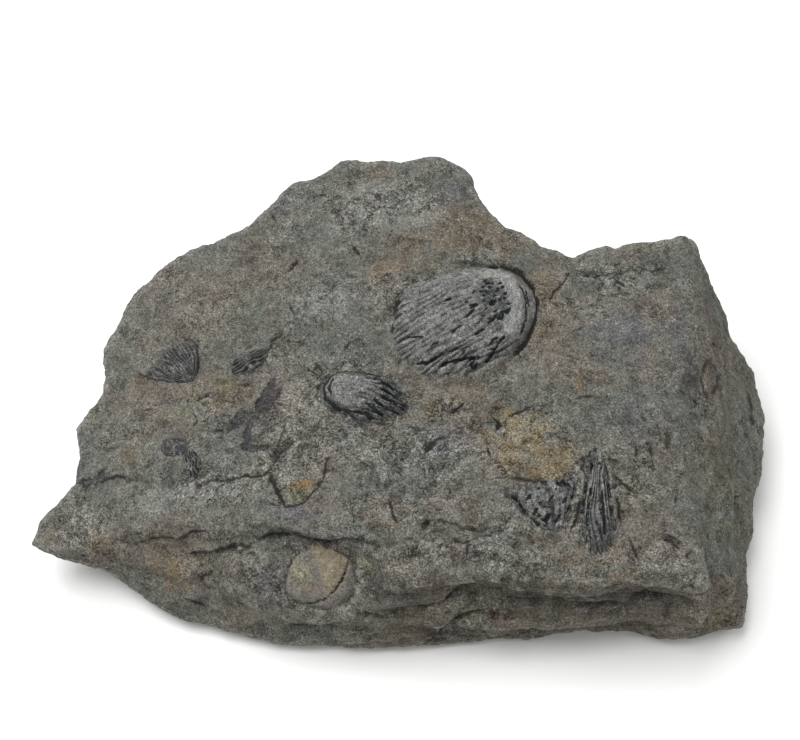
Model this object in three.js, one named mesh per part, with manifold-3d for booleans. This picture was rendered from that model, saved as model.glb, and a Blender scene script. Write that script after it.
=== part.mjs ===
// A hand-sized block of grey limy mudstone, broken along its beds, with the ribbed shells of fossil
// brachiopods standing proud of its weathered upper face. Millimetres, +Z up, the upper face leaning
// towards -Y. The block is one stone. Each fossil is a body of its own, seated in a pocket of the stone.
import * as THREE from 'three';
import { mergeVertices } from 'three/addons/utils/BufferGeometryUtils.js';
import Module from 'manifold-3d';

const wasm = await Module();
wasm.setup();

// The middle of the block as surveyed below, which is moved to x 0, y 0 at the end.
const MIDDLE = { x: 1.8, y: -1.35 };

// The spacing of the surface points, and the clear gap left all round a fossil in its pocket.
const GRID = 3.9;
const SEAT_GAP = 0.32;

// The rim is where the upper face breaks over into the flanks: x, y, z, anticlockwise from the left tip.
const RIM = [
  [-76.5, -31.5, 12], [-71, -34.5, 14], [-62, -34.5, 18], [-51, -34, 22], [-40, -35, 26], [-28.5, -38, 29],
  [-19.5, -41, 30], [-11, -41.5, 30], [-5, -44, 29], [0, -47.5, 28], [9, -48.5, 27], [21, -50, 27],
  [31, -51, 26], [43, -51.5, 27], [52, -50, 28], [62, -52, 28], [59, -43, 30], [58.5, -30, 32],
  [59, -17, 35], [61.5, -2.5, 37], [63, 9.5, 39], [63.5, 21.5, 41], [62, 28.5, 42], [56, 27.5, 41],
  [49.5, 27.5, 40], [44.5, 26.5, 40], [37, 24, 40], [29.5, 26.5, 42], [22.5, 29, 44], [18, 35.5, 46],
  [14, 43, 48], [9.5, 46, 48], [-2.5, 46.5, 46], [-11.5, 48.5, 45], [-16.5, 44.5, 44], [-24.5, 42, 42],
  [-26.5, 37.5, 41], [-31.5, 34, 40], [-41, 29, 38], [-50, 26.5, 36], [-59.5, 12, 32], [-62, 6, 31],
  [-62, -3.5, 28], [-67, -10.5, 25], [-66.5, -21.5, 20.5], [-70, -24, 18], [-74, -27, 15.5],
];

// The belt is the widest line of the flanks, low down: x, y, z, anticlockwise from the left tip.
const BELT = [
  [-76, -31, 9], [-71, -33.5, 8], [-61, -36, 7], [-54.5, -40.5, 4.5], [-43.5, -46.5, 3.5], [-33, -49, 3],
  [-22, -51.5, 3], [-9.5, -53, 2.5], [9, -51.5, 2.5], [30, -50, 2.5], [43, -48.5, 3.5], [54, -50, 3],
  [62, -49.5, 2.5], [73.5, -47.5, 4], [73.5, -42.5, 6], [75, -34, 8], [77.5, -24.5, 9], [80.5, -12, 10],
  [81.5, -1, 10], [80, 9, 11], [80, 13, 12], [76, 20, 14], [71, 33, 19], [64, 34, 14],
  [50, 35, 10], [37, 32, 10], [26, 37, 9], [16, 48, 8], [-4, 50, 8], [-20, 47, 9],
  [-33, 37, 10], [-48, 30, 11], [-57, 14, 10], [-59, -2, 9], [-63, -14, 9], [-68, -24, 9],
];

// Heights surveyed across the upper face: x, y, z.
const SPOT_HEIGHTS = [
  [-38, -10, 29], [-50, -7, 29], [-53, 9, 32.5], [-29, -4, 31.5], [-41, -22, 27.5], [-56, -22, 25],
  [-20, -15, 33.5], [-20, -30, 31.5], [-36, 15, 36], [-21, 26, 40], [-21, 4, 36], [-6, 31, 43.5],
  [7, 35, 46], [7, 23, 43], [-6, 12, 39.5], [1, 0, 37.5], [14, 6, 39.5], [27, 22, 41],
  [34, 9, 39], [15, -12, 35], [30, -12, 35.5], [-3, -21, 34], [11, -26, 33], [9, -38, 30.5],
  [-7, -35, 32], [42, -31, 33], [47, -13, 37], [48, 7, 39.5], [57, 17, 40.5], [52, -22, 35],
  [49, -41, 31], [33, -43, 29.5], [21, -43, 29.5],
];

// Steps and grooves along the front flank, where harder and softer beds weather apart. Each is centred
// on x and on drop (0 at the rim, 1 at the belt), and pushes the surface out by push.
const BEDS = [
  { x: -17, reach: 15, drop: 0.14, thick: 0.09, push: -4.2 },
  { x: -17, reach: 20, drop: 0.5, thick: 0.22, push: 3.2 },
  { x: -50, reach: 14, drop: 0.35, thick: 0.2, push: -1.2 },
  { x: 32, reach: 30, drop: 0.3, thick: 0.13, push: -3.4 },
  { x: 30, reach: 22, drop: 0.62, thick: 0.14, push: 1.8 },
  { x: 20, reach: 16, drop: 0.86, thick: 0.08, push: -1.5 },
  { x: 63, reach: 7, drop: 0.55, thick: 0.2, push: 2.2 },
];

// The flanks swell by this much half way down. Only the front, before this y, shows the beds.
const FLANK_BULGE = 1.6;
const BEDDED_BEFORE = -20;

// Small lumps of the weathered surfaces: how far apart and how high.
const TOP_LUMPS = [{ apart: 11, high: 0.5 }, { apart: 5.5, high: 0.35 }];
const FLANK_LUMPS = [{ apart: 9, high: 0.9 }, { apart: 5, high: 0.6 }];

// How far the foot is cut in under the belt, everywhere and at the gap in front. On the left the foot
// never stands further out from the middle than its reach, so the thin left tip hangs free.
const FOOT_INSET = 3;
const FRONT_GAP = { x: 48, y: -47, reach: 7, depth: 3.5 };
const LEFT_FOOT_REACH = 62;

// Fossils on the upper face. x, y is the umbo, the swollen old end of the shell. The shell grows
// from there along heading (degrees from +X) for length, to half its width each side.
const SHELLS = {
  large_ribbed_shell: {
    x: 28.6, y: 14.6, heading: 211, length: 32, halfWidth: 13.6, height: 4.4, keel: 3, ribs: 18,
    ribHeight: 0.8, rows: 11, frontCurve: 0.3, blunt: 0.46,
  },
  oval_ribbed_shell: {
    x: -16.2, y: -8.2, heading: -17, length: 19, halfWidth: 6.1, height: 3, keel: 2, ribs: 14,
    ribHeight: 0.5, rows: 8, frontCurve: 0.36, blunt: 0.4,
  },
  fan_ribbed_shell: {
    x: 41.4, y: -22.7, heading: -93, length: 23.6, halfWidth: 4.6, height: 2.3, keel: 2, ribs: 11,
    ribHeight: 0.6, rows: 9, frontCurve: 0.22, blunt: 0.42,
  },
  broken_ribbed_shell: {
    x: 30, y: -20.4, heading: -95, length: 23.4, halfWidth: 6.5, height: 2, keel: 1.6, ribs: 12,
    ribHeight: 0.55, rows: 6, frontCurve: 0.36, blunt: 0.6, brokenAt: 0.6,
  },
  small_ribbed_shell_left: {
    x: -43.2, y: -3.2, heading: 130, length: 9.6, halfWidth: 6.1, height: 1.3, keel: 1.4, ribs: 11,
    ribHeight: 0.3, rows: 5, frontCurve: 0.3, blunt: 0.8, dark: true,
  },
  small_ribbed_shell_right: {
    x: -27.2, y: 2.6, heading: 207, length: 8.8, halfWidth: 2.8, height: 1, keel: 1.2, ribs: 7,
    ribHeight: 0.22, rows: 5, frontCurve: 0.5, blunt: 0.6, dark: true,
  },
  ribbed_fragment: {
    x: -43.2, y: -19, heading: -83, length: 6.2, halfWidth: 2.3, height: 0.8, keel: 1.2, ribs: 5,
    ribHeight: 0.25, rows: 4, frontCurve: 0.4, blunt: 0.6, dark: true,
  },
};

// Rounded fossils without ribs: the centre, the half sizes across, along and through, and the lean of
// the outward direction from +Z towards -Y in degrees.
const ROUNDS = {
  dark_round_shell: { centre: [-46.6, -18.4, 27], radii: [3, 2.7, 1.7], lean: 8, dark: true },
  round_cast: { centre: [-14.8, -45.4, 19.2], radii: [8.8, 7.6, 3.2], lean: 47 },
};
const ROUND_FACETS = [16, 8];

const STONE_LOOK = { color: 0x696860, roughness: 0.93, metalness: 0 };
const SHELL_LOOK = { color: 0x5c5e5d, roughness: 0.85, metalness: 0 };
const DARK_LOOK = { color: 0x3d3b3f, roughness: 0.8, metalness: 0 };
const CAST_LOOK = { color: 0x7a7567, roughness: 0.92, metalness: 0 };

const smooth = THREE.MathUtils.smoothstep;
const radians = THREE.MathUtils.degToRad;

// A repeatable rough value between -1 and 1 for a whole-number place.
const SCATTER = [127.1, 311.7, 74.7];
const SCATTER_SPREAD = 43758.5453;
function grain(place) {
  const s = SCATTER_SPREAD * Math.sin(place.reduce((sum, p, n) => sum + p * SCATTER[n], 0));
  return 2 * (s - Math.floor(s)) - 1;
}

// Smooth bumps of one size in mm, between about -1 and 1.
function bumps(x, y, z, size) {
  const place = [x / size, y / size, z / size];
  const cell = place.map(Math.floor);
  const ease = place.map((p, n) => smooth(p - cell[n], 0, 1));
  let sum = 0;
  for (let corner = 0; corner < 8; corner += 1) {
    const step = [corner & 1, (corner >> 1) & 1, corner >> 2];
    const weight = step.reduce((w, s, n) => w * (s ? ease[n] : 1 - ease[n]), 1);
    sum += weight * grain(cell.map((p, n) => p + step[n]));
  }
  return sum;
}

// Solves a small set of linear equations by elimination with pivoting.
function solve(matrix, values) {
  const rows = matrix.map((row, n) => [...row, values[n]]);
  const count = rows.length;
  for (let c = 0; c < count; c += 1) {
    let best = c;
    for (let r = c + 1; r < count; r += 1) {
      if (Math.abs(rows[r][c]) > Math.abs(rows[best][c])) best = r;
    }
    [rows[c], rows[best]] = [rows[best], rows[c]];
    for (let r = 0; r < count; r += 1) {
      if (r === c) continue;
      const share = rows[r][c] / rows[c][c];
      for (let k = c; k <= count; k += 1) rows[r][k] -= share * rows[c][k];
    }
  }
  return rows.map((row, n) => row[count] / row[n]);
}

// The broad upper face: a surface through the rim and the spot heights, like a stretched skin.
const SKIN_SOFTNESS = 3;
const survey = [...RIM, ...SPOT_HEIGHTS];
const pull = (x, y, p) => Math.hypot(x - p[0], y - p[1], SKIN_SOFTNESS);
const equations = survey.map((p) => [...survey.map((q) => pull(p[0], p[1], q)), 1, p[0], p[1]]);
for (const term of [() => 1, (p) => p[0], (p) => p[1]]) equations.push([...survey.map(term), 0, 0, 0]);
const skin = solve(equations, [...survey.map((p) => p[2]), 0, 0, 0]);

function broadHeight(x, y) {
  const [level, alongX, alongY] = skin.slice(-3);
  return survey.reduce((z, p, n) => z + skin[n] * pull(x, y, p), level + alongX * x + alongY * y);
}

// The plane that a shell lies in: its middle, its growing direction and its outward direction.
function seatOf(shell) {
  const [c, s] = [Math.cos(radians(shell.heading)), Math.sin(radians(shell.heading))];
  const [mx, my] = [shell.x + 0.5 * shell.length * c, shell.y + 0.5 * shell.length * s];
  const reach = 0.45 * shell.length;
  const rise = (dx, dy) => (broadHeight(mx + dx * reach, my + dy * reach)
    - broadHeight(mx - dx * reach, my - dy * reach)) / (2 * reach);
  const out = new THREE.Vector3(-rise(1, 0), -rise(0, 1), 1).normalize();
  const along = new THREE.Vector3(c, s, 0).projectOnPlane(out).normalize();
  const across = new THREE.Vector3().crossVectors(out, along);
  const ends = [[0, 0], [c, s], [-c, -s], [s, -c], [-s, c]];
  const level = ends.reduce((sum, [dx, dy]) => sum + broadHeight(mx + dx * reach, my + dy * reach), 0);
  const middle = new THREE.Vector3(mx, my, level / ends.length);
  return { out, middle, frame: new THREE.Matrix4().makeBasis(along, across, out).setPosition(middle) };
}

// The upper face in full: the broad face with each shell's bed levelled into it, and small lumps.
const BED_DROP = 0.25;
const BED_EDGE = 1.05;
const BED_MARGIN = 1.5;
function topHeight(x, y) {
  let z = broadHeight(x, y);
  for (const { apart, high } of TOP_LUMPS) z += high * bumps(x, y, 0, apart);
  for (const shell of Object.values(SHELLS)) {
    const { out, middle } = shell.seat;
    const [dx, dy] = [x - middle.x, y - middle.y];
    const [c, s] = [Math.cos(radians(shell.heading)), Math.sin(radians(shell.heading))];
    const far = Math.hypot((dx * c + dy * s) / (0.5 * shell.length), (dy * c - dx * s) / shell.halfWidth);
    const plane = middle.z - (out.x * dx + out.y * dy) / out.z - BED_DROP;
    z += (plane - z) * (1 - smooth(far, BED_EDGE, BED_MARGIN));
  }
  return z;
}

// One closed body from rings of points stacked from its top point to its bottom point. Rings may hold
// different numbers of points: each pair is zipped together by share of the way round.
function ringBody(top, rings, bottom) {
  const points = [top, ...rings.flat(), bottom];
  const starts = rings.map((_, n) => 1 + rings.slice(0, n).reduce((sum, ring) => sum + ring.length, 0));
  const faces = [];
  const first = rings[0].length;
  for (let i = 0; i < first; i += 1) faces.push(0, 1 + i, 1 + ((i + 1) % first));
  for (let n = 0; n + 1 < rings.length; n += 1) {
    const [upper, lower] = [rings[n].length, rings[n + 1].length];
    let [i, j] = [0, 0];
    while (i < upper || j < lower) {
      const [a, b] = [starts[n] + (i % upper), starts[n + 1] + (j % lower)];
      if (j >= lower || (i < upper && (i + 1) / upper <= (j + 1) / lower)) {
        i += 1;
        faces.push(a, b, starts[n] + (i % upper));
      } else {
        j += 1;
        faces.push(a, b, starts[n + 1] + (j % lower));
      }
    }
  }
  const last = rings.length - 1;
  const [from, count] = [starts[last], rings[last].length];
  for (let i = 0; i < count; i += 1) faces.push(from + i, points.length - 1, from + ((i + 1) % count));
  const geometry = new THREE.BufferGeometry();
  geometry.setAttribute('position', new THREE.Float32BufferAttribute(points.flat(), 3));
  geometry.setIndex(faces);
  return geometry;
}

// Points along a closed outline, about one grid apart, keeping every corner of it.
function walk(outline) {
  return outline.flatMap((p, n) => {
    const q = outline[(n + 1) % outline.length];
    const steps = Math.max(1, Math.round(Math.hypot(q[0] - p[0], q[1] - p[1]) / GRID));
    return Array.from({ length: steps }, (_, k) => p.map((value, c) => value + (q[c] - value) * (k / steps)));
  });
}

// The point of a closed outline that lies in direction angle from the block's middle.
function outlineAt(outline, angle) {
  const [c, s] = [Math.cos(angle), Math.sin(angle)];
  for (let n = 0; n < outline.length; n += 1) {
    const [p, q] = [outline[n], outline[(n + 1) % outline.length]];
    const [sideP, sideQ] = [p[1] * c - p[0] * s, q[1] * c - q[0] * s];
    if (sideP * sideQ > 0 || sideP === sideQ) continue;
    const share = sideP / (sideP - sideQ);
    const point = p.map((value, k) => value + (q[k] - value) * share);
    if (point[0] * c + point[1] * s > 0) return point;
  }
  throw new Error('the outline does not go round the middle');
}

// A closed ring at one share of the way out to the rim, with points about one grid apart.
const FEWEST_POINTS = 7;
function topRing(rim, share) {
  const count = Math.max(FEWEST_POINTS, Math.round(rim.length * share));
  return Array.from({ length: count }, (_, i) => {
    const place = (i / count) * rim.length;
    const [a, b] = [rim[Math.floor(place)], rim[(Math.floor(place) + 1) % rim.length]];
    const [x, y] = [0, 1].map((c) => share * (a[c] + (b[c] - a[c]) * (place % 1)));
    return [x, y, topHeight(x, y)];
  });
}

// How far the flank stands out or in at one drop below a rim point.
function flankPush(x, y, z, drop) {
  let push = FLANK_BULGE * Math.sin(Math.PI * Math.sqrt(drop));
  for (const { apart, high } of FLANK_LUMPS) push += high * bumps(x, y, z, apart);
  if (y > BEDDED_BEFORE) return push;
  for (const bed of BEDS) {
    const along = 1 - smooth(Math.abs(x - bed.x), 0.6 * bed.reach, bed.reach);
    push += bed.push * along * Math.exp(-(((drop - bed.drop) / bed.thick) ** 2));
  }
  return push;
}

// The extra cut at a place, full near it and fading out with distance.
function cutAt(place, x, y) {
  return place.depth * (1 - smooth(Math.hypot(x - place.x, y - place.y), 0.3 * place.reach, place.reach));
}

// The stone as rings from the middle of its upper face over the rim, down the flanks and in below.
const TOP_RINGS = 15;
const FLANK_DROPS = [0.05, 0.14, 0.24, 0.37, 0.5, 0.64, 0.8, 1];
const UNDERSIDE_SHARES = [0.66, 0.33];
function stoneBody() {
  const rim = walk(RIM);
  const rings = [];
  for (let n = 1; n < TOP_RINGS; n += 1) rings.push(topRing(rim, n / TOP_RINGS));
  rings.push(rim.map(([x, y, z]) => [x, y, z]));
  for (const drop of FLANK_DROPS) {
    rings.push(rim.map(([x, y, z]) => {
      const angle = Math.atan2(y, x);
      const belt = outlineAt(BELT, angle);
      const [fx, fy, fz] = [x, y, z].map((value, c) => value + (belt[c] - value) * drop);
      const push = flankPush(fx, fy, fz, drop);
      return [fx + push * Math.cos(angle), fy + push * Math.sin(angle), fz];
    }));
  }
  const belt = rings[rings.length - 1];
  const foot = belt.map(([x, y]) => {
    const far = Math.hypot(x, y);
    const wanted = far - FOOT_INSET - cutAt(FRONT_GAP, x, y);
    const share = (x < 0 ? Math.min(wanted, LEFT_FOOT_REACH) : wanted) / far;
    return [x * share, y * share, 0];
  });
  rings.push(foot);
  for (const share of UNDERSIDE_SHARES) {
    const sparse = foot.filter((_, n) => n % 3 === 0);
    rings.push(sparse.map(([x, y]) => [x * share, y * share, 0]));
  }
  return ringBody([0, 0, topHeight(0, 0)], rings, [0, 0, 0]);
}

// The height of the shell's swelling at growth u (0 umbo, 1 front edge) and place t (-1 to 1 across).
const UMBO_SHARE = 0.22;
const UMBO_ROUNDNESS = 0.6;
const FRONT_ROUNDNESS = 2.6;
function swelling(u, t) {
  const side = Math.sqrt(Math.max(0, 1 - t * t));
  const front = Math.sqrt(Math.max(0, 1 - u ** FRONT_ROUNDNESS));
  return side * front * Math.min(1, (u / UMBO_SHARE) ** UMBO_ROUNDNESS);
}

// Where growth u and place t fall in the shell's own plane, with the whole shell's middle at the
// origin. What is left of a broken shell is grown from its own core.
const WIDENING = 2.4;
function shellPlan(shell, u, t, grow) {
  const width = (1 - (1 - u) ** WIDENING) ** shell.blunt;
  const x = u * shell.length * (1 - shell.frontCurve * t * t * u ** 2) - 0.5 * shell.length;
  const y = t * shell.halfWidth * width;
  const core = 0.5 * (shell.brokenAt ?? 0) * shell.length;
  const far = Math.hypot(x - core, y) || 1;
  return [x + grow * (x - core) / far, y + grow * y / far];
}

// A shell as a closed lens, ribbed above and smooth below. With grow above 0 it is the room for the
// shell: that much larger all round, with no ribs. The ribs are worn down unevenly.
const KEEL_SHARE = 0.7;
const KEEL_DEPTH = 0.75;
const WEAR = { apart: 4, depth: 0.25 };
const CROWDING = 1.35;
function shellBody(shell, grow = 0) {
  const columns = 2 * shell.ribs;
  const start = shell.brokenAt ?? 0;
  const points = [];
  const faces = [];
  for (let r = 0; r <= shell.rows; r += 1) {
    const u = start + (1 - start) * (r / shell.rows) ** (start ? 1 : CROWDING);
    for (let j = 0; j <= columns; j += 1) {
      const t = -1 + (2 * j) / columns;
      const [x, y] = shellPlan(shell, u, t, grow);
      const worn = 1 - WEAR.depth * (1 - bumps(x, y, shell.x, WEAR.apart));
      const rib = grow ? 0 : (j % 2) * shell.ribHeight * Math.min(1, 2.5 * u) * worn;
      const body = shell.height * swelling(u, t) + (grow ? 2 * grow + shell.ribHeight : 0);
      const edge = r === 0 || j === 0 || j === columns || r === shell.rows;
      points.push([x, y, edge ? 0 : body + rib]);
    }
  }
  const at = (r, j) => r * (columns + 1) + j;
  for (let r = 0; r < shell.rows; r += 1) {
    for (let j = 0; j < columns; j += 1) {
      faces.push(at(r, j), at(r + 1, j), at(r, j + 1), at(r + 1, j), at(r + 1, j + 1), at(r, j + 1));
    }
  }
  const loop = [];
  for (let r = 0; r < shell.rows; r += 1) loop.push(at(r, 0));
  for (let j = 0; j < columns; j += 1) loop.push(at(shell.rows, j));
  for (let r = shell.rows; r > 0; r -= 1) loop.push(at(r, columns));
  for (let j = columns; start && j > 0; j -= 1) loop.push(at(0, j));
  const middle = [0, 1].map((c) => loop.reduce((sum, n) => sum + points[n][c], 0) / loop.length);
  const ring = points.length;
  for (const n of loop) {
    const [x, y] = [0, 1].map((c) => middle[c] + KEEL_SHARE * (points[n][c] - middle[c]));
    points.push([x, y, -KEEL_DEPTH * shell.keel - grow]);
  }
  const pole = points.length;
  points.push([...middle, -shell.keel - grow]);
  loop.forEach((n, i) => {
    const next = (i + 1) % loop.length;
    faces.push(n, ring + i, loop[next], ring + i, ring + next, loop[next], ring + i, pole, ring + next);
  });
  const geometry = new THREE.BufferGeometry();
  geometry.setAttribute('position', new THREE.Float32BufferAttribute(points.flat(), 3));
  geometry.setIndex(faces);
  return geometry;
}

// A smooth rounded body, turned so that its short way points out of the stone.
function roundBody(round, grow = 0) {
  const ball = new THREE.SphereGeometry(1, ...ROUND_FACETS);
  ball.deleteAttribute('normal');
  ball.deleteAttribute('uv');
  return ball.scale(...round.radii.map((r) => r + grow));
}

// A closed mesh of a geometry with its shared points merged and its flat faces dropped.
const SAME_POINT = 1e-4;
function closed(geometry) {
  const merged = mergeVertices(geometry, SAME_POINT);
  const index = merged.getIndex().array;
  const kept = [];
  for (let n = 0; n < index.length; n += 3) {
    const [a, b, c] = [index[n], index[n + 1], index[n + 2]];
    if (a !== b && b !== c && c !== a) kept.push(a, b, c);
  }
  merged.setIndex(kept);
  return merged;
}

function toSolid(geometry) {
  const vertProperties = new Float32Array(geometry.getAttribute('position').array);
  const triVerts = new Uint32Array(geometry.getIndex().array);
  return new wasm.Manifold(new wasm.Mesh({ numProp: 3, vertProperties, triVerts }));
}

function toGeometry(solid) {
  const mesh = solid.getMesh();
  const geometry = new THREE.BufferGeometry();
  geometry.setAttribute('position', new THREE.BufferAttribute(mesh.vertProperties, 3));
  geometry.setIndex(new THREE.BufferAttribute(mesh.triVerts, 1));
  return geometry;
}

const object = new THREE.Group();

function addPiece(name, geometry, look, frame) {
  const mesh = new THREE.Mesh(geometry, new THREE.MeshStandardMaterial(look));
  mesh.name = name;
  mesh.applyMatrix4(frame);
  mesh.position.x -= MIDDLE.x;
  mesh.position.y -= MIDDLE.y;
  object.add(mesh);
}

for (const shell of Object.values(SHELLS)) shell.seat = seatOf(shell);

let stone = toSolid(closed(stoneBody()));
for (const [name, shell] of Object.entries(SHELLS)) {
  addPiece(name, closed(shellBody(shell)), shell.dark ? DARK_LOOK : SHELL_LOOK, shell.seat.frame);
  stone = stone.subtract(toSolid(closed(shellBody(shell, SEAT_GAP).applyMatrix4(shell.seat.frame))));
}
for (const [name, round] of Object.entries(ROUNDS)) {
  const frame = new THREE.Matrix4().makeRotationX(radians(round.lean)).setPosition(...round.centre);
  addPiece(name, closed(roundBody(round)), round.dark ? DARK_LOOK : CAST_LOOK, frame);
  stone = stone.subtract(toSolid(closed(roundBody(round, SEAT_GAP).applyMatrix4(frame))));
}
addPiece('stone_block', toGeometry(stone), STONE_LOOK, new THREE.Matrix4());

export default object;
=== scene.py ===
import math

import bpy
import numpy as np
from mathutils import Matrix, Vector
from mathutils.bvhtree import BVHTree


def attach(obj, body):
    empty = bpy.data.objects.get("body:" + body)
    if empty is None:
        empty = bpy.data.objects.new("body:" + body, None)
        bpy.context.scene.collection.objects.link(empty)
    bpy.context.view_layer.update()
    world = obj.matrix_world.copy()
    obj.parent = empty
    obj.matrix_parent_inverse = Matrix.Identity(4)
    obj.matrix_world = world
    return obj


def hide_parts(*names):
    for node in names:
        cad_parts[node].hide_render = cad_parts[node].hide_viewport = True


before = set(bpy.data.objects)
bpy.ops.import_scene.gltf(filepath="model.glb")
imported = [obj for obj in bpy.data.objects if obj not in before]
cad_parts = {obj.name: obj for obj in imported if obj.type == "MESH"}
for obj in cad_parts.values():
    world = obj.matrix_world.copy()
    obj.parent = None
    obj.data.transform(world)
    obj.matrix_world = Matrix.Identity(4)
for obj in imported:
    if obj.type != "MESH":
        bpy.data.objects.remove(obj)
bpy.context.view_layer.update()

# The large ribbed shell.
# One valve of a brachiopod turned to grey limestone, domed, smooth and worn at its beak, with ribs
# that fan out to a ragged front. It was buried in the mud, so its rim sinks into the stone.
MM = 0.001


def hashed(cells, seed):
    """A repeatable number from 0 to 1 for each cell of a lattice."""
    mixed = cells.astype(np.uint64) @ np.array([374761393, 668265263, 1274126177], np.uint64)
    mixed = mixed + np.uint64(seed * 974711 + 12345)
    low_half = np.uint64(0xFFFFFFFF)
    for shift, factor in ((13, 1103515245), (16, 2246822519)):
        mixed = ((mixed & low_half) ^ ((mixed & low_half) >> np.uint64(shift))) * np.uint64(factor)
    mixed = mixed & low_half
    return ((mixed ^ (mixed >> np.uint64(15))) & np.uint64(0xFFFFFF)) / float(0xFFFFFF)


def lumps(points, size, seed):
    """Soft random lumps of that size in mm, from about -1 to 1, over points in mm."""
    place = points / size
    cell = np.floor(place).astype(np.int64)
    inside = place - cell
    ease = inside**3 * (inside * (inside * 6 - 15) + 10)
    total = np.zeros(len(points))
    for corner in np.ndindex(2, 2, 2):
        at = cell + np.array(corner)
        slope = np.stack([hashed(at, seed * 3 + axis) for axis in range(3)], 1) * 2 - 1
        share = np.prod(np.where(np.array(corner) == 1, ease, 1 - ease), 1)
        total += share * (slope * (inside - np.array(corner))).sum(1)
    return total * 1.7


def pitting(points, spacing, radius, share, seed):
    """1 at the middle of scattered round pits, falling to 0 at their rims."""
    cell = np.floor(points / spacing).astype(np.int64)
    deep = np.zeros(len(points))
    for step in np.ndindex(3, 3, 3):
        at = cell + np.array(step) - 1
        nudge = np.stack([hashed(at, seed * 5 + axis) for axis in range(3)], 1)
        middle = (at + 0.1 + 0.8 * nudge) * spacing
        size = radius * (0.45 + 0.9 * hashed(at, seed * 5 + 3))
        there = hashed(at, seed * 5 + 4) < share
        reach = np.linalg.norm(points - middle, axis=1) / size
        deep = np.maximum(deep, there * np.clip(1 - reach**2, 0, 1))
    return deep


def rise(value, low, high):
    """0 below low, 1 above high and a smooth step between."""
    part = np.clip((value - low) / (high - low), 0, 1)
    return part * part * (3 - 2 * part)


def strokes_on(places, strokes):
    """For points on a plane, in mm: how far each is to the side of its nearest stroke, how wide, deep
    and dark that stroke is there, and whether it is near enough to count. Strokes come in groups of
    one width, depth and darkness, each drawn as a line of places or as one dot."""
    best = np.full(len(places), 1e9)
    side = np.full(len(places), 9.0)
    wide, deep, black = np.full(len(places), 0.1), np.zeros(len(places)), np.zeros(len(places))
    for width, depth, dark, line in [(*group[:3], line) for group in strokes for line in group[3]]:
        line = np.atleast_2d(np.array(line, float))
        if len(line) == 1:
            line = np.vstack([line - [width * 0.4, 0], line + [width * 0.4, 0]])
        spans = np.linalg.norm(np.diff(line, axis=0), axis=1)
        before = np.concatenate([[0], np.cumsum(spans)])
        for start, span, gone, step in zip(line[:-1], spans, before, np.diff(line, axis=0) / spans[:, None]):
            away = places - start
            along = away @ step
            across = away[:, 1] * step[0] - away[:, 0] * step[1]
            past = np.maximum(np.maximum(-along, along - span), 0)
            far = np.hypot(across, past)
            run = gone + np.clip(along, 0, span)
            taper = np.clip(np.minimum(run, before[-1] - run) / (2.0 * width) + 0.35, 0, 1)
            nearer = far - width < best
            best[nearer] = (far - width)[nearer]
            side[nearer] = np.where(past > 0, np.sign(across) * far, across)[nearer]
            wide[nearer] = (width * taper)[nearer]
            deep[nearer] = (depth * taper)[nearer]
            black[nearer] = dark
    return {"side": side, "wide": wide, "deep": deep, "dark": black, "near": 1 - rise(np.abs(side), 1.3, 2.0)}


def marks_on(flat, marks):
    """How deep and how dark the marks are at each point of a shell."""
    mark = strokes_on(flat[:, :2], marks)
    ragged = mark["side"] + 0.22 * lumps(flat, 0.8, 78)
    there = mark["near"] * (1 - rise(np.abs(ragged), 0.4 * mark["wide"], 1.3 * mark["wide"] + 0.1))
    return mark["deep"] * there, mark["dark"] * there


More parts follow.
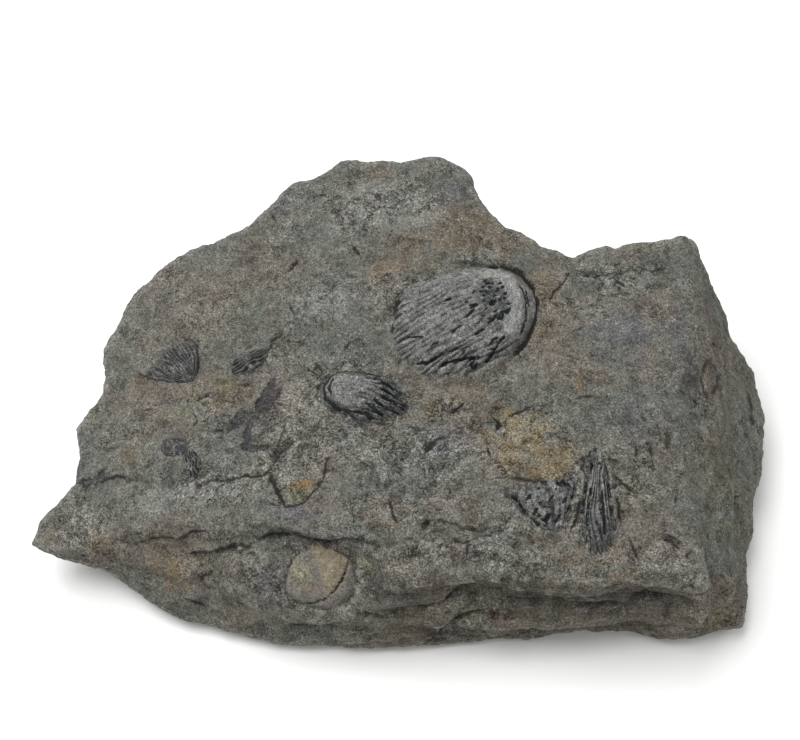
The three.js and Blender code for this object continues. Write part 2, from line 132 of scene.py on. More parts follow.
def shell_body(seat, size, ribbing, seed, rows, columns, marks=()):
    """A closed, ribbed valve with its rim in the seat's plane. Gives its points in mm, its faces, what
    its finish reads at each point, and how far ahead and how far aside each point lies."""
    middle, out, along = (np.array(part, float) for part in seat)
    out /= np.linalg.norm(out)
    along -= out * (along @ out)
    along /= np.linalg.norm(along)
    across = np.cross(out, along)
    length, half_width, keel = size["length"], size["half_width"], size["keel"]

    # The outline and the dome, from the beak at 0 to the front at 1 and from side to side, -1 to 1.
    forward = 0.5 - 0.5 * np.cos(np.pi * np.linspace(0, 1, rows + 1)[1:])
    sideways = np.sin(np.pi / 2 * np.linspace(-1, 1, columns + 1))
    ahead, aside = (grid.ravel() for grid in np.meshgrid(forward, sideways, indexing="ij"))
    nothing = np.zeros(len(ahead))
    width = (1 - (1 - ahead) ** 2.4) ** size["blunt"]
    swell = np.sqrt(np.clip(1 - aside * aside, 0, 1)) * np.sqrt(np.clip(1 - ahead**2.6, 0, 1))
    swell = swell * np.minimum(1, (ahead / 0.22) ** 0.6)

    # The ribs, which fan out from the beak, wander, come in knobs and are worn away in places.
    fan = (aside * 0.5 + 0.5) * ribbing["ribs"]
    wander = np.stack([fan * 0.33, ahead * 2.2, nothing + seed * 7.3], 1)
    fan = fan + ribbing["wander"] * lumps(wander, 1.0, seed)
    number = np.floor(fan)
    knobs = 1 + 0.75 * lumps(np.stack([number * 3.7, ahead * length, nothing], 1), 1.9, seed + 30)
    strength = 0.55 + 0.75 * hashed(np.stack([number, nothing, nothing], 1).astype(np.int64), seed + 50)
    crest = np.abs(np.sin(np.pi * fan)) ** 0.8
    fine = np.abs(np.sin(np.pi * (fan * 2 + 0.25))) ** 0.9
    start = rise(ahead, ribbing["smooth_to"] - 0.12, ribbing["smooth_to"] + 0.2)
    spread = np.stack([ahead * length, aside * half_width, nothing + seed], 1)
    wear = rise(lumps(spread, 5.0, seed + 9), -0.5, 0.35)
    amount = start * (ribbing["least_wear"] + (1 - ribbing["least_wear"]) * wear) * strength
    rib = ribbing["height"] * amount * knobs * (crest - 0.55 + 0.22 * rise(ahead, 0.5, 0.7) * (fine - 0.5))

    x = ahead * length * (1 - size["front_curve"] * aside * aside * ahead * ahead) - length / 2
    x = x + ribbing["scallop"] * (crest - 0.5) * rise(ahead, 0.72, 1.0)
    y = aside * half_width * width * (1 - size.get("taper", 0.0) * (1 - ahead))
    y = y * (1 - size.get("trim", 0.0) * rise(aside, 0.2, 1.0) * rise(ahead, 0.35, 0.7))
    flat = np.stack([x, y, nothing], 1)

    # Growth rings, wear, pits and the drop at the rim.
    rings = np.zeros(len(ahead))
    for ring in ribbing["rings"]:
        rings += 0.13 * np.exp(-(((ahead - ring) / 0.012) ** 2)) * rise(ahead, 0.2, 0.4)
    rough = 0.3 * lumps(flat, 4.5, seed + 23) + 0.26 * lumps(flat, 2.1, seed + 20)
    rough = rough + 0.2 * lumps(flat, 0.9, seed + 21)
    worn = ribbing["rough"] * rough
    spacing, radius, share = ribbing["pits"]
    pits = pitting(flat, spacing, radius, share, seed + 22)
    rim_drop = ribbing["rim_drop"] * (1 - rise(swell, 0.1, 0.5)) * (0.5 + lumps(flat, 2.6, seed + 24))
    z = size["height"] * swell + rib * (0.35 + 0.65 * rise(swell, 0.05, 0.4)) - rings + worn
    z = z - 0.55 * radius * pits - rim_drop
    broken = 0.35 + 0.9 * rise(lumps(flat * [0.6, 1, 1], 1.8, seed + 25), -0.35, 0.3)
    furrow = np.clip(start * (1 - crest) * (0.6 + 0.4 * strength) * ribbing["dark"] * broken, 0, 1.1)
    deep, dark = marks_on(flat, marks)
    weak = ribbing.get("weak_above", 0.0) * (1 - rise(aside, 0.0, 0.6)) * (1 - 0.5 * rise(ahead, 0.75, 0.95))
    z = z - 0.45 * weak * rib - deep
    furrow = furrow * (1 - 0.5 * weak)
    eaten = np.maximum(0.75 * rise(pits, 0.2, 0.6), dark)

    # The faces, and the keel that closes the valve inside the stone.
    top = np.vstack([[[-length / 2, 0, 0.0]], np.stack([x, y, z], 1)])
    count = columns + 1
    rim = [0] + [1 + row * count for row in range(rows)]
    rim += [1 + (rows - 1) * count + column for column in range(1, count)]
    rim += [1 + row * count + columns for row in range(rows - 2, -1, -1)]
    under = top[rim] * [0.72, 0.72, 0] + [0, 0, -0.75 * keel]
    local = np.vstack([top, under, [[0, 0, -keel]]])
    faces = [(0, 1 + column + 1, 1 + column) for column in range(columns)]
    for first in [1 + row * count + column for row in range(rows - 1) for column in range(columns)]:
        faces.append((first, first + 1, first + 1 + count, first + count))
    low, ring = len(top), len(rim)
    for index in range(ring):
        after = (index + 1) % ring
        faces.append((rim[index], low + index, low + after, rim[after]))
        faces.append((low + index, low + ring, low + after))
    points = middle + local[:, :1] * along + local[:, 1:2] * across + local[:, 2:] * out
    reading = {
        "furrow": np.concatenate([[0], furrow, np.full(ring + 1, 0.5)]),
        "eaten": np.concatenate([[0], eaten, np.zeros(ring + 1)]),
    }
    ahead = np.concatenate([[0], ahead, np.full(ring + 1, 1.0)])
    aside = np.concatenate([[0], aside, np.full(ring + 1, 0.0)])
    return points, [face[::-1] for face in faces], reading, ahead, aside


def keep_readings(mesh, readings):
    """Keeps what a finish reads as named numbers on the mesh's points."""
    for label, numbers in readings.items():
        kept = mesh.attributes.new(label, "FLOAT", "POINT")
        kept.data.foreach_set("value", np.asarray(numbers, np.float32))


def piece_of(name, points, faces, readings, finish):
    """A mesh piece from points in mm, with its finish and what the finish reads."""
    mesh = bpy.data.meshes.new(name)
    mesh.from_pydata((points * MM).tolist(), [], faces)
    keep_readings(mesh, readings)
    mesh.materials.append(finish)
    mesh.shade_smooth()
    piece = bpy.data.objects.new(name, mesh)
    bpy.context.scene.collection.objects.link(piece)
    return piece


def tint(chart):
    """A paint chart's red, green and blue, 0 to 255, as the light that the shader wants."""
    parts = np.array(chart) / 255
    linear = np.where(parts <= 0.04045, parts / 12.92, ((parts + 0.055) / 1.055) ** 2.4)
    return (*[float(part) for part in linear], 1.0)


class Finish:
    """A procedural finish as it is laid on: coats of colour one over another, then a fine relief."""

    def __init__(self, name, ground):
        self.material = bpy.data.materials.new(name)
        self.material.use_nodes = True
        self.tree = self.material.node_tree
        spot = self.node("TexCoord", {}).outputs["Object"]
        self.places = self.node("VectorMath", {0: spot, "Scale": 1000.0}, operation="SCALE").outputs["Vector"]
        self.colour = tint(ground)

    def node(self, kind, inputs, **settings):
        """Adds a shader node. Each input takes a number, a colour or another node's output."""
        made = self.tree.nodes.new("ShaderNode" + kind)
        for setting, value in settings.items():
            setattr(made, setting, value)
        for socket, value in inputs.items():
            if isinstance(value, bpy.types.NodeSocket):
                self.tree.links.new(value, made.inputs[socket])
            else:
                made.inputs[socket].default_value = value
        return made

    def reading(self, label):
        """A number that the mesh keeps at each point."""
        return self.node("Attribute", {}, attribute_name=label).outputs["Fac"]

    def cloudy(self, size, detail=3.0, roughness=0.6, swirl=0.0, stretch=None):
        """A cloudy pattern from 0 to 1, of that size in mm."""
        places = self.places
        if stretch:
            places = self.node("VectorMath", {0: places, 1: stretch}, operation="MULTIPLY").outputs["Vector"]
        sockets = {"Vector": places, "Scale": 1 / size, "Detail": detail, "Roughness": roughness}
        sockets["Distortion"] = swirl
        return self.node("TexNoise", sockets).outputs["Fac"]

    def between(self, value, low, high, least=0.0, most=1.0):
        """Least at low, most at high, and a smooth step between."""
        sockets = {"Value": value, "From Min": low, "From Max": high, "To Min": least, "To Max": most}
        return self.node("MapRange", sockets, interpolation_type="SMOOTHSTEP").outputs["Result"]

    def math(self, kind, first, second=0.0):
        return self.node("Math", {0: first, 1: second}, operation=kind).outputs["Value"]

    def times(self, first, second):
        return self.math("MULTIPLY", first, second)

    def plus(self, first, second):
        return self.math("ADD", first, second)

    def threads(self, size, thin, swirl):
        """Thin wandering lines, where a cloudy pattern passes its middle: 1 on a line, 0 off it."""
        off = self.math("SUBTRACT", self.cloudy(size, 2.0, 0.5, swirl), 0.5)
        return self.between(self.math("ABSOLUTE", off), thin, 0.0)

    def coat(self, share, chart):
        """Lays a colour over the colour so far, as fully as the share says."""
        sockets = {0: share, 6: self.colour, 7: tint(chart)}
        self.colour = self.node("Mix", sockets, data_type="RGBA").outputs[2]

    def shade(self, level):
        """Makes the colour so far lighter or darker by a level around 1."""
        scaled = self.node("VectorMath", {0: self.colour, "Scale": level}, operation="SCALE")
        self.colour = scaled.outputs["Vector"]

    def relief(self, height, deep, roughness, specular=0.3):
        """Ends the finish with its relief, deep in mm, and how dull it is."""
        bump = self.node("Bump", {"Height": height, "Distance": deep * MM, "Strength": 1.0})
        shader = self.tree.nodes["Principled BSDF"]
        shader.inputs["Roughness"].default_value = roughness
        shader.inputs["Specular IOR Level"].default_value = specular
        self.tree.links.new(self.colour, shader.inputs["Base Color"])
        self.tree.links.new(bump.outputs["Normal"], shader.inputs["Normal"])
        return self.material


def shell_finish(name, crest, hollow, worn, stain, chalky, roughness):
    """Fossil shell: one colour on the ribs, a darker one in the furrows, a pale one where it is worn."""
    shell = Finish(name, crest)
    mottle = shell.cloudy(2.2, 4.0, 0.7)
    grain = shell.cloudy(0.75, 4.0, 0.72, 1.6)
    speck = shell.cloudy(0.3, 2.0, 0.6, 0.8)
    shell.coat(shell.between(mottle, 0.42, 0.62, 0.0, 0.6), worn)
    ragged = shell.between(grain, 0.38, 0.62, -0.3, 0.3)
    shell.coat(shell.between(shell.plus(shell.reading("furrow"), ragged), 0.25, 0.62, 0.0, 0.95), hollow)
    smooth = shell.plus(shell.reading("worn"), shell.between(mottle, 0.3, 0.7, -0.3, 0.3))
    shell.coat(shell.between(smooth, 0.35, 0.75), worn)
    shell.coat(shell.between(shell.plus(shell.reading("stain"), ragged), 0.35, 0.7, 0.0, 0.95), stain)
    patchy = shell.times(shell.between(mottle, 0.42, 0.56), shell.between(shell.reading("worn"), 0.9, 0.4))
    shell.coat(shell.times(shell.times(shell.threads(1.5, 0.09, 1.6), patchy), 0.75), stain)
    pale = shell.times(shell.threads(1.15, 0.08, 1.9), shell.between(mottle, 0.56, 0.42))
    shell.coat(shell.times(pale, chalky), (168, 167, 162))
    shell.coat(shell.between(speck, 0.37, 0.32, 0.0, 0.8), stain)
    shell.shade(shell.between(grain, 0.38, 0.62, 0.6, 1.4))
    shell.shade(shell.between(speck, 0.38, 0.62, 0.72, 1.28))
    hole = shell.plus(shell.reading("eaten"), shell.between(grain, 0.38, 0.62, -0.15, 0.15))
    shell.coat(shell.between(hole, 0.25, 0.6), (26, 29, 30))
    height = shell.plus(grain, shell.times(speck, 0.4))
    return shell.relief(height, deep=0.35, roughness=roughness, specular=0.35)


GREY_SHELL = shell_finish(
    "grey_limestone_shell", crest=(110, 111, 108), hollow=(30, 30, 33), worn=(135, 135, 132),
    stain=(36, 41, 43), chalky=0.65, roughness=0.66)

LARGE_SEAT = ((13.09, 7.71, 39.02), (0.003, -0.220, 0.976), (-0.863, -0.494, -0.108))
LARGE_SIZE = {"length": 32.0, "half_width": 13.6, "height": 4.4, "keel": 3.0, "front_curve": 0.3,
              "blunt": 0.46, "trim": 0.13}
LARGE_RIBBING = {
    "ribs": 19, "height": 1.0, "smooth_to": 0.3, "least_wear": 0.35, "scallop": 1.1,
    "rings": (0.42, 0.63, 0.86), "wander": 1.0, "rough": 1.35, "rim_drop": 1.1,
    "pits": (1.7, 0.42, 0.4), "dark": 1.25, "weak_above": 1.0,
}
# Where the shell's surface is eaten away: width, depth and darkness, then the dots and lines, in mm from
# beak to front and across. The dots lie behind the beak, the long furrows along the lower side.
LARGE_MARKS = [
    (0.62, 0.9, 1.0, [(-7.6, -4.7), (-7.4, -2.6), (-8.2, -1.1), (-9.5, 0.1), (-9.8, -1.4), (-6.2, -3.5),
        (-5.2, -2.8), (-9.8, -2.5), (-7.2, -0.4), (-7.6, -3.9), (-5.3, 2.8), (-7.5, 0.9), (-8.8, 1.1),
        (-8.4, -3.5), (-8.7, -1.5), (-6.3, -2.1), (-5.2, -1.6), (-3.9, -3.6), (-4.1, 1.2), (-2.6, 2.2),
        (-6.6, 3.6), (-3.4, 3.6), (-8.9, 2.6), (-1.4, -2.4)]),
    (1.2, 1.4, 1.0, [(-6.0, 0.7)]),
    (1.1, 1.3, 1.0, [(-7.7, 3.9)]),
    (0.6, 0.9, 1.0, [[(-2.9, -0.6), (-1.6, -1.0)], [(-5.0, 4.5), (-6.8, 4.1)]]),
    (0.4, 0.6, 0.9, [[(-2.7, 4.2), (-5.3, 3.7)]]),
    (0.35, 0.5, 0.9, [[(-1.1, -0.6), (-3.1, -0.5)]]),
    (0.3, 0.5, 0.8, [[(0.7, 0.8), (-1.8, 0.1)], [(-0.8, 8.1), (-2.8, 7.8)], [(5.7, 7.5), (4.6, 7.0)]]),
    (0.3, 0.9, 1.0, [[(14.4, 3.8), (12.4, 4.9), (10.8, 5.0), (7.8, 5.3), (5.1, 5.8)]]),
    (0.32, 0.9, 1.0, [[(10.7, 7.0), (8.4, 7.2), (6.4, 8.0), (4.4, 8.7), (2.4, 9.5)]]),
    (0.45, 1.0, 1.0, [[(8.5, 10.2), (6.3, 10.2), (3.7, 10.5)]]),
    (0.26, 0.8, 0.85, [[(2.7, 11.1), (-0.1, 10.2), (-2.3, 9.0), (-4.5, 8.3)]]),
    (0.26, 0.7, 0.8, [[(5.1, 9.9), (3.0, 9.2)]]),
    (0.25, 0.5, 0.8, [[(13.3, -2.3), (10.4, -0.5)]]),
    (0.25, 0.4, 0.8, [[(2.4, -4.9), (0.8, -4.7)], [(10.4, 2.3), (8.5, 2.4)], [(4.8, 1.9), (2.3, 1.8)],
        [(1.3, 5.1), (-1.4, 4.8)]]),
    (0.25, 0.3, 0.7, [[(-13.9, -0.8), (-13.0, 2.9), (-10.6, 6.9), (-8.0, 9.1)], [(-14.4, 0.6),
        (-12.9, 4.6)]]),
]
# The pale band that is worn round the beak.
BEAK_BAND = [(1.35, 0.0, 1.0, [[(-8.2, -5.8), (-11.0, -5.7), (-12.0, -2.8), (-11.2, 0.5), (-9.8, 3.4),
    (-7.7, 5.6), (-5.5, 7.4)]])]
points, faces, reading, _, _ = shell_body(
    LARGE_SEAT, LARGE_SIZE, LARGE_RIBBING, seed=3, rows=150, columns=190, marks=LARGE_MARKS)
along = np.array(LARGE_SEAT[2])
across = np.cross(LARGE_SEAT[1], along)
flat = np.stack([(points - LARGE_SEAT[0]) @ along, (points - LARGE_SEAT[0]) @ across], 1)
band = strokes_on(flat, BEAK_BAND)
reading["worn"] = 1 - rise(np.abs(band["side"]), 0.9 * band["wide"], 1.7 * band["wide"])
reading["stain"] = 0.8 * np.exp(-(((flat[:, 0] + 6.2) / 3.9) ** 2) - ((flat[:, 1] - 0.2) / 5.6) ** 2)
large_shell = piece_of("large_shell", points, faces, reading, GREY_SHELL)
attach(large_shell, "root")
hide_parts("large_ribbed_shell")
fossils = [{"points": points, "faces": faces, "seat": LARGE_SEAT, "reach": (16.0, 13.6), "held": 0.3}]

# The oval shell, the narrow fan and the broken shell.
# Three smaller valves of the same kind in the same grey limestone. The oval one is worn smooth on
# its beak half, the fan lies edge on with long close ribs, and only the front of the third is left.
SMALLER_SHELLS = {
    "oval_shell": {
        "node": "oval_ribbed_shell",
        "seat": ((-8.92, -9.63, 35.20), (-0.055, -0.142, 0.988), (0.956, -0.294, 0.011)),
        "size": {"length": 19.0, "half_width": 6.1, "height": 3.0, "keel": 2.0, "front_curve": 0.36,
                 "blunt": 0.4},
        "ribbing": {
            "ribs": 11, "height": 0.85, "smooth_to": 0.5, "least_wear": 0.7, "scallop": 1.2, "rings": (0.78,),
            "wander": 1.0, "rough": 1.1, "rim_drop": 1.0, "pits": (1.3, 0.36, 0.6), "dark": 2.2,
        },
        "stained_from": 0.6, "ringed_to": 0.62, "edged": 0.0, "speckled": 0.24, "seed": 5, "held": 0.3,
        "marks": [
            (0.3, 0.35, 0.8, [[(2.6, 5.0), (-1.0, 5.1), (-4.8, 4.4), (-7.3, 2.4), (-8.2, -0.6), (-7.0, -3.0),
                (-4.4, -4.3), (-1.0, -4.8), (1.5, -4.3)]]),
            (0.25, 0.3, 0.8, [[(-6.6, 1.6), (-6.9, -0.6), (-5.8, -2.4)]]),
            (0.35, 0.6, 1.0, [[(3.2, 3.6), (6.0, 2.6), (8.0, 1.8)], [(3.2, -1.2), (6.0, -2.0), (9.0, -2.4)]]),
            (0.3, 0.5, 1.0, [[(3.6, 1.8), (6.5, 1.2), (8.8, 0.6)]]),
            (0.4, 0.6, 1.0, [[(4.0, 0.2), (7.2, -0.4), (9.3, -0.8)]]),
            (0.42, 0.6, 1.0, [[(2.4, -2.6), (5.2, -3.6), (8.4, -3.9)]]),
            (0.35, 0.5, 1.0, [[(1.4, -3.8), (3.6, -4.8), (6.2, -5.0)]]),
        ],
    },
    "fan_shell": {
        "node": "fan_ribbed_shell",
        "seat": ((38.98, -33.13, 31.95), (-0.012, -0.246, 0.969), (-0.051, -0.968, -0.246)),
        "size": {"length": 23.6, "half_width": 4.6, "height": 2.3, "keel": 2.0, "front_curve": 0.22,
                 "blunt": 0.42, "taper": 0.5},
        "ribbing": {
            "ribs": 9, "height": 0.75, "smooth_to": 0.12, "least_wear": 0.3, "scallop": 1.6,
            "rings": (0.35, 0.6), "wander": 1.8, "rough": 1.6, "rim_drop": 1.1,
            "pits": (1.5, 0.5, 0.6), "dark": 1.7,
        },
        "stained_from": 0.7, "ringed_to": 0.0, "edged": 0.7, "speckled": 0.1, "seed": 8, "held": 0.55,
        "marks": [
            (0.4, 0.6, 1.0, [[(-8.8, -1.6), (-10.4, -1.2), (-11.1, 0.1), (-9.9, 1.2), (-8.7, 1.7)]]),
            (0.5, 0.6, 1.0, [[(-7.0, -1.2), (-5.6, -1.3)]]),
            (0.32, 0.6, 1.0, [[(-2.5, -2.1), (2.0, -2.8), (6.5, -3.2)]]),
            (0.26, 0.5, 1.0, [[(-1.5, -1.2), (3.0, -1.8), (7.5, -2.2)]]),
            (0.3, 0.5, 1.0, [[(-3.0, 2.1), (0.0, 2.6), (4.0, 3.1)]]),
            (0.24, 0.5, 0.9, [[(-1.0, 0.9), (3.5, 1.4), (8.0, 1.7)]]),
        ],
    },
    "broken_shell": {
        "node": "broken_ribbed_shell",
        "seat": ((27.7, -30.1, 32.2), (-0.033, -0.212, 0.977), (0.2, -0.958, -0.201)),
        "size": {"length": 20.4, "half_width": 7.4, "height": 1.9, "keel": 1.6, "front_curve": 0.5,
                 "blunt": 0.6},
        "ribbing": {
            "ribs": 9, "height": 0.6, "smooth_to": 0.4, "least_wear": 0.2, "scallop": 1.3,
            "rings": (0.7, 0.88), "wander": 2.2, "rough": 2.2, "rim_drop": 0.9,
            "pits": (1.5, 0.5, 0.7), "dark": 1.0,
        },
        "stained_from": 0.95, "ringed_to": 0.0, "edged": 0.7, "speckled": 0.15, "seed": 11, "held": 0.2,
        "broken_at": 0.5,
        "marks": [
            (0.42, 0.7, 1.0, [[(1.5, -6.2), (3.5, -5.4), (5.5, -4.2), (7.4, -2.5), (8.8, -0.5)]]),
            (0.35, 0.6, 1.0, [[(8.4, -1.6), (7.0, 0.2)]]),
            (0.3, 0.5, 1.0, [[(8.8, 0.8), (7.4, 2.4)], [(6.5, -3.2), (5.2, -1.8)]]),
            (0.4, 0.5, 1.0, [[(1.0, 3.0), (0.5, 4.6), (1.6, 5.8)]]),
            (0.3, 0.4, 1.0, [[(7.2, 3.4), (5.4, 5.2)]]),
            (0.35, 0.5, 1.0, [[(3.0, -3.8), (2.2, -2.6)]]),
            (0.28, 0.4, 0.9, [[(4.2, 0.6), (3.2, 2.0)], [(5.2, 3.4), (4.0, 4.4)]]),
        ],
    },
}
for name, shell in SMALLER_SHELLS.items():
    size = shell["size"]
    points, faces, reading, ahead, aside = shell_body(
        shell["seat"], size, shell["ribbing"], shell["seed"], rows=110, columns=120, marks=shell["marks"])
    reading["worn"] = np.zeros(len(points))
    front = 0.62 * rise(ahead, shell["stained_from"] - 0.2, shell["stained_from"] + 0.15)
    edge_mm = np.minimum(ahead * size["length"], (1 - np.abs(aside)) * size["half_width"])
    ring = 0.62 * (1 - rise(edge_mm, 1.4, 3.1)) * (ahead < shell["ringed_to"])
    side_edge = shell["edged"] * rise(np.abs(aside), 0.35, 0.9)
    reading["stain"] = np.maximum(np.maximum(front, shell["speckled"]), np.maximum(ring, side_edge))
    if "broken_at" in shell:
        ragged = 0.06 * lumps(np.stack([aside * 7, ahead * 3, ahead * 0], 1), 1.0, 60)
        gone = 1 - rise(ahead + ragged, shell["broken_at"] - 0.1, shell["broken_at"] + 0.05)
        points = points - np.array(shell["seat"][1]) * (gone * 4.5)[:, None]
    piece = piece_of(name, points, faces, reading, GREY_SHELL)
    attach(piece, "root")
    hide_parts(shell["node"])
    reach = (size["length"] / 2, size["half_width"])
    seat, held = shell["seat"], shell["held"]
    fossils.append({"points": points, "faces": faces, "seat": seat, "reach": reach, "held": held})

# The small dark shells and the ribbed scrap.
# Two thumbnail-size valves and a scrap of a third that kept a dark, nearly black skin of their old
# shell. They stand only a little out of the stone, and their ribs are fine and close.
DARK_SHELL = shell_finish(
    "dark_shell", crest=(80, 80, 79), hollow=(21, 21, 23), worn=(112, 112, 108), stain=(42, 40, 45),
    chalky=0.5, roughness=0.6)
DARK_RIBBING = {
    "height": 0.6, "smooth_to": 0.05, "least_wear": 0.3, "scallop": 1.3, "rings": (0.5,),
    "wander": 1.2, "rough": 0.75, "rim_drop": 0.6, "pits": (1.1, 0.32, 0.6), "dark": 2.3,
}
DARK_SHELLS = {
    "small_shell_left": {
        "node": "small_ribbed_shell_left",
        "seat": ((-48.09, 1.83, 31.03), (-0.062, -0.248, 0.967), (-0.660, 0.737, 0.147)),
        "size": {"length": 9.6, "half_width": 6.1, "height": 1.3, "keel": 1.4, "front_curve": 0.3,
                 "blunt": 0.8},
        "ribs": 15, "seed": 14,
    },
    "small_shell_right": {
        "node": "small_ribbed_shell_right",
        "seat": ((-32.92, 1.95, 32.53), (-0.172, -0.302, 0.938), (-0.879, -0.383, -0.285)),
        "size": {"length": 8.8, "half_width": 2.8, "height": 1.0, "keel": 1.2, "front_curve": 0.5,
                 "blunt": 0.6},
        "ribs": 8, "seed": 17,
    },
    "ribbed_scrap": {
        "node": "ribbed_fragment",
        "seat": ((-44.62, -20.73, 27.17), (-0.172, -0.134, 0.976), (0.142, -0.984, -0.110)),
        "size": {"length": 6.2, "half_width": 2.3, "height": 0.8, "keel": 1.2, "front_curve": 0.4,
                 "blunt": 0.6},
        "ribs": 5, "seed": 20,
    },
}
for name, shell in DARK_SHELLS.items():
    ribbing = {**DARK_RIBBING, "ribs": shell["ribs"]}
    points, faces, reading, _, _ = shell_body(
        shell["seat"], shell["size"], ribbing, shell["seed"], rows=60, columns=90)
    reading["worn"] = np.full(len(points), 0.16)
    reading["stain"] = np.full(len(points), 0.3)
    piece = piece_of(name, points, faces, reading, DARK_SHELL)
    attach(piece, "root")
    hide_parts(shell["node"])
    reach = (shell["size"]["length"] / 2, shell["size"]["half_width"])
    fossils.append({"points": points, "faces": faces, "seat": shell["seat"], "reach": reach, "held": 0.15})

# The dark round shell and the round cast.
# A button-size round shell lies flat beside the scrap. The cast in the front flank is mud that
# filled a round shell and set: a low beige pillow, with an open crack along its lower right edge.
BUTTON_MIDDLE = (-48.4, -17.05, 26.6)
BUTTON_RADII = (3.1, 2.7, 1.5)
BUTTON_LEAN = 8
CAST_MIDDLE = (-17.0, -44.0, 19.4)
CAST_RADII = (8.6, 7.4, 3.0)
CAST_LEAN = 47
# The crack, drawn on the cast's face as it was before it leaned.
CAST_CRACK = [(0.2, 0.5, 1.0, [[(5.6, 3.9), (5.0, 2.3), (4.2, 0.2), (3.4, -1.3), (2.1, -2.5), (0.9, -3.8),
    (-1.0, -4.7), (-3.2, -5.3)]])]


def round_body(middle, radii, lean, rough, seed, rows=56, columns=112):
    """A closed pebble-like lens whose thickness axis leans towards the front. Gives points in mm,
    faces, and each point's place on the lens before it was leaned."""
    down = np.linspace(0, np.pi, rows + 1)[1:-1]
    turn = np.linspace(0, 2 * np.pi, columns, endpoint=False)
    down, turn = (grid.ravel() for grid in np.meshgrid(down, turn, indexing="ij"))
    ball = np.stack([np.sin(down) * np.cos(turn), np.sin(down) * np.sin(turn), np.cos(down)], 1)
    ball = np.vstack([[[0, 0, 1]], ball, [[0, 0, -1]]])
    lens = ball * np.array(radii)
    edge_out = 1 + 0.07 * lumps(ball * [1, 1, 0], 0.6, seed)
    lens = lens * np.stack([edge_out, edge_out, np.ones(len(lens))], 1)
    push = 0.35 * lumps(lens, 4.0, seed + 1) + 0.16 * lumps(lens, 1.6, seed + 2)
    push = push + 0.08 * lumps(lens, 0.8, seed + 3)
    push = rough * push - 0.25 * rough * pitting(lens, 2.0, 0.6, 0.4, seed + 4)
    lens = lens + ball * push[:, None]
    level, upright = math.cos(math.radians(lean)), math.sin(math.radians(lean))
    x, y, z = lens.T
    leaned = np.stack([x, y * level - z * upright, y * upright + z * level], 1)
    faces = [(0, 1 + column, 1 + (column + 1) % columns) for column in range(columns)]
    for row in range(rows - 2):
        first = 1 + row * columns
        for column in range(columns):
            after = (column + 1) % columns
            faces.append((first + column, first + columns + column, first + columns + after, first + after))
    last = 1 + (rows - 2) * columns
    faces += [(last + column, len(lens) - 1, last + (column + 1) % columns) for column in range(columns)]
    return np.array(middle) + leaned, faces, lens


points, faces, lens = round_body(BUTTON_MIDDLE, BUTTON_RADII, BUTTON_LEAN, rough=0.6, seed=30)
out_from_middle = np.hypot(lens[:, 0] / BUTTON_RADII[0], lens[:, 1] / BUTTON_RADII[1])
reading = {"furrow": np.full(len(points), 0.25), "worn": np.zeros(len(points)), "eaten": np.zeros(len(points)),
           "stain": 0.7 + 0.2 * rise(out_from_middle, 0.6, 0.95)}
dark_button = piece_of("dark_round_shell_button", points, faces, reading, DARK_SHELL)
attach(dark_button, "root")
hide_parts("dark_round_shell")
button_seat = ((-48.4, -17.05, 27.1), (0, 0, 1), (1, 0, 0))
fossils.append({"points": points, "faces": faces, "seat": button_seat, "reach": BUTTON_RADII[:2],
                "held": 0.15})


def cast_finish():
    """Set mud: grey, beige up to the crack, with a yellow speckle, a reddish spot and painted shade in the
    crack.
    """
    cast = Finish("beige_mud_cast", (106, 103, 97))
    broad = cast.cloudy(5.0, 4.0, 0.65)
    grain = cast.cloudy(0.75, 4.0, 0.72, 1.6)
    speck = cast.cloudy(0.3, 2.0, 0.6, 0.8)
    cast.coat(cast.between(broad, 0.4, 0.6), (117, 114, 106))
    warm = cast.plus(cast.reading("beige"), cast.between(broad, 0.35, 0.65, -0.3, 0.3))
    cast.coat(cast.between(warm, 0.3, 0.8), (131, 121, 104))
    cast.coat(cast.times(cast.reading("yellow"), cast.between(grain, 0.42, 0.55)), (134, 131, 106))
    cast.coat(cast.times(cast.reading("red"), 0.6), (124, 104, 92))
    # The open crack darkened, as painted shade.
    crack = cast.plus(cast.reading("crack"), cast.between(grain, 0.3, 0.7, -0.2, 0.2))
    cast.coat(cast.between(crack, 0.35, 0.7), (38, 34, 30))
    cast.coat(cast.between(speck, 0.36, 0.28, 0.0, 0.7), (60, 54, 46))
    cast.shade(cast.between(grain, 0.38, 0.62, 0.64, 1.36))
    return cast.relief(grain, deep=0.35, roughness=0.9)


points, faces, lens = round_body(CAST_MIDDLE, CAST_RADII, CAST_LEAN, rough=1.0, seed=40)
crack = strokes_on(lens[:, :2], CAST_CRACK)
crack_side = np.abs(crack["side"] + 0.28 * lumps(lens, 1.1, 45))
cracked = crack["near"] * (1 - rise(crack_side, 0.5 * crack["wide"], 1.3 * crack["wide"])) * (lens[:, 2] > 0)
outward = np.array([0, -math.sin(math.radians(CAST_LEAN)), math.cos(math.radians(CAST_LEAN))])
points = points - outward * (crack["deep"] * cracked)[:, None]
x, y = lens[:, 0], lens[:, 1]
past_crack = rise(x - np.interp(y, [-5.3, -3.8, -1.3, 3.9], [-3.2, 0.9, 3.4, 5.6]), 0.0, 0.5)
reading = {
    "crack": cracked,
    "beige": rise(x + 0.35 * y, -1.4, 1.6) * (1 - 0.9 * past_crack),
    "yellow": np.exp(-(((x + 4.2) / 2.4) ** 2) - ((y - 1.6) / 2.4) ** 2),
    "red": np.exp(-(((x + 2.3) / 1.3) ** 2) - ((y + 1.4) / 1.2) ** 2),
}
mud_cast = piece_of("mud_cast", points, faces, reading, cast_finish())
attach(mud_cast, "root")
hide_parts("round_cast")
cast_seat = (CAST_MIDDLE, tuple(outward), (1, 0, 0))
fossils.append({"points": points, "faces": faces, "seat": cast_seat, "reach": CAST_RADII[:2], "held": 1.3,
                "gap": 0.12})

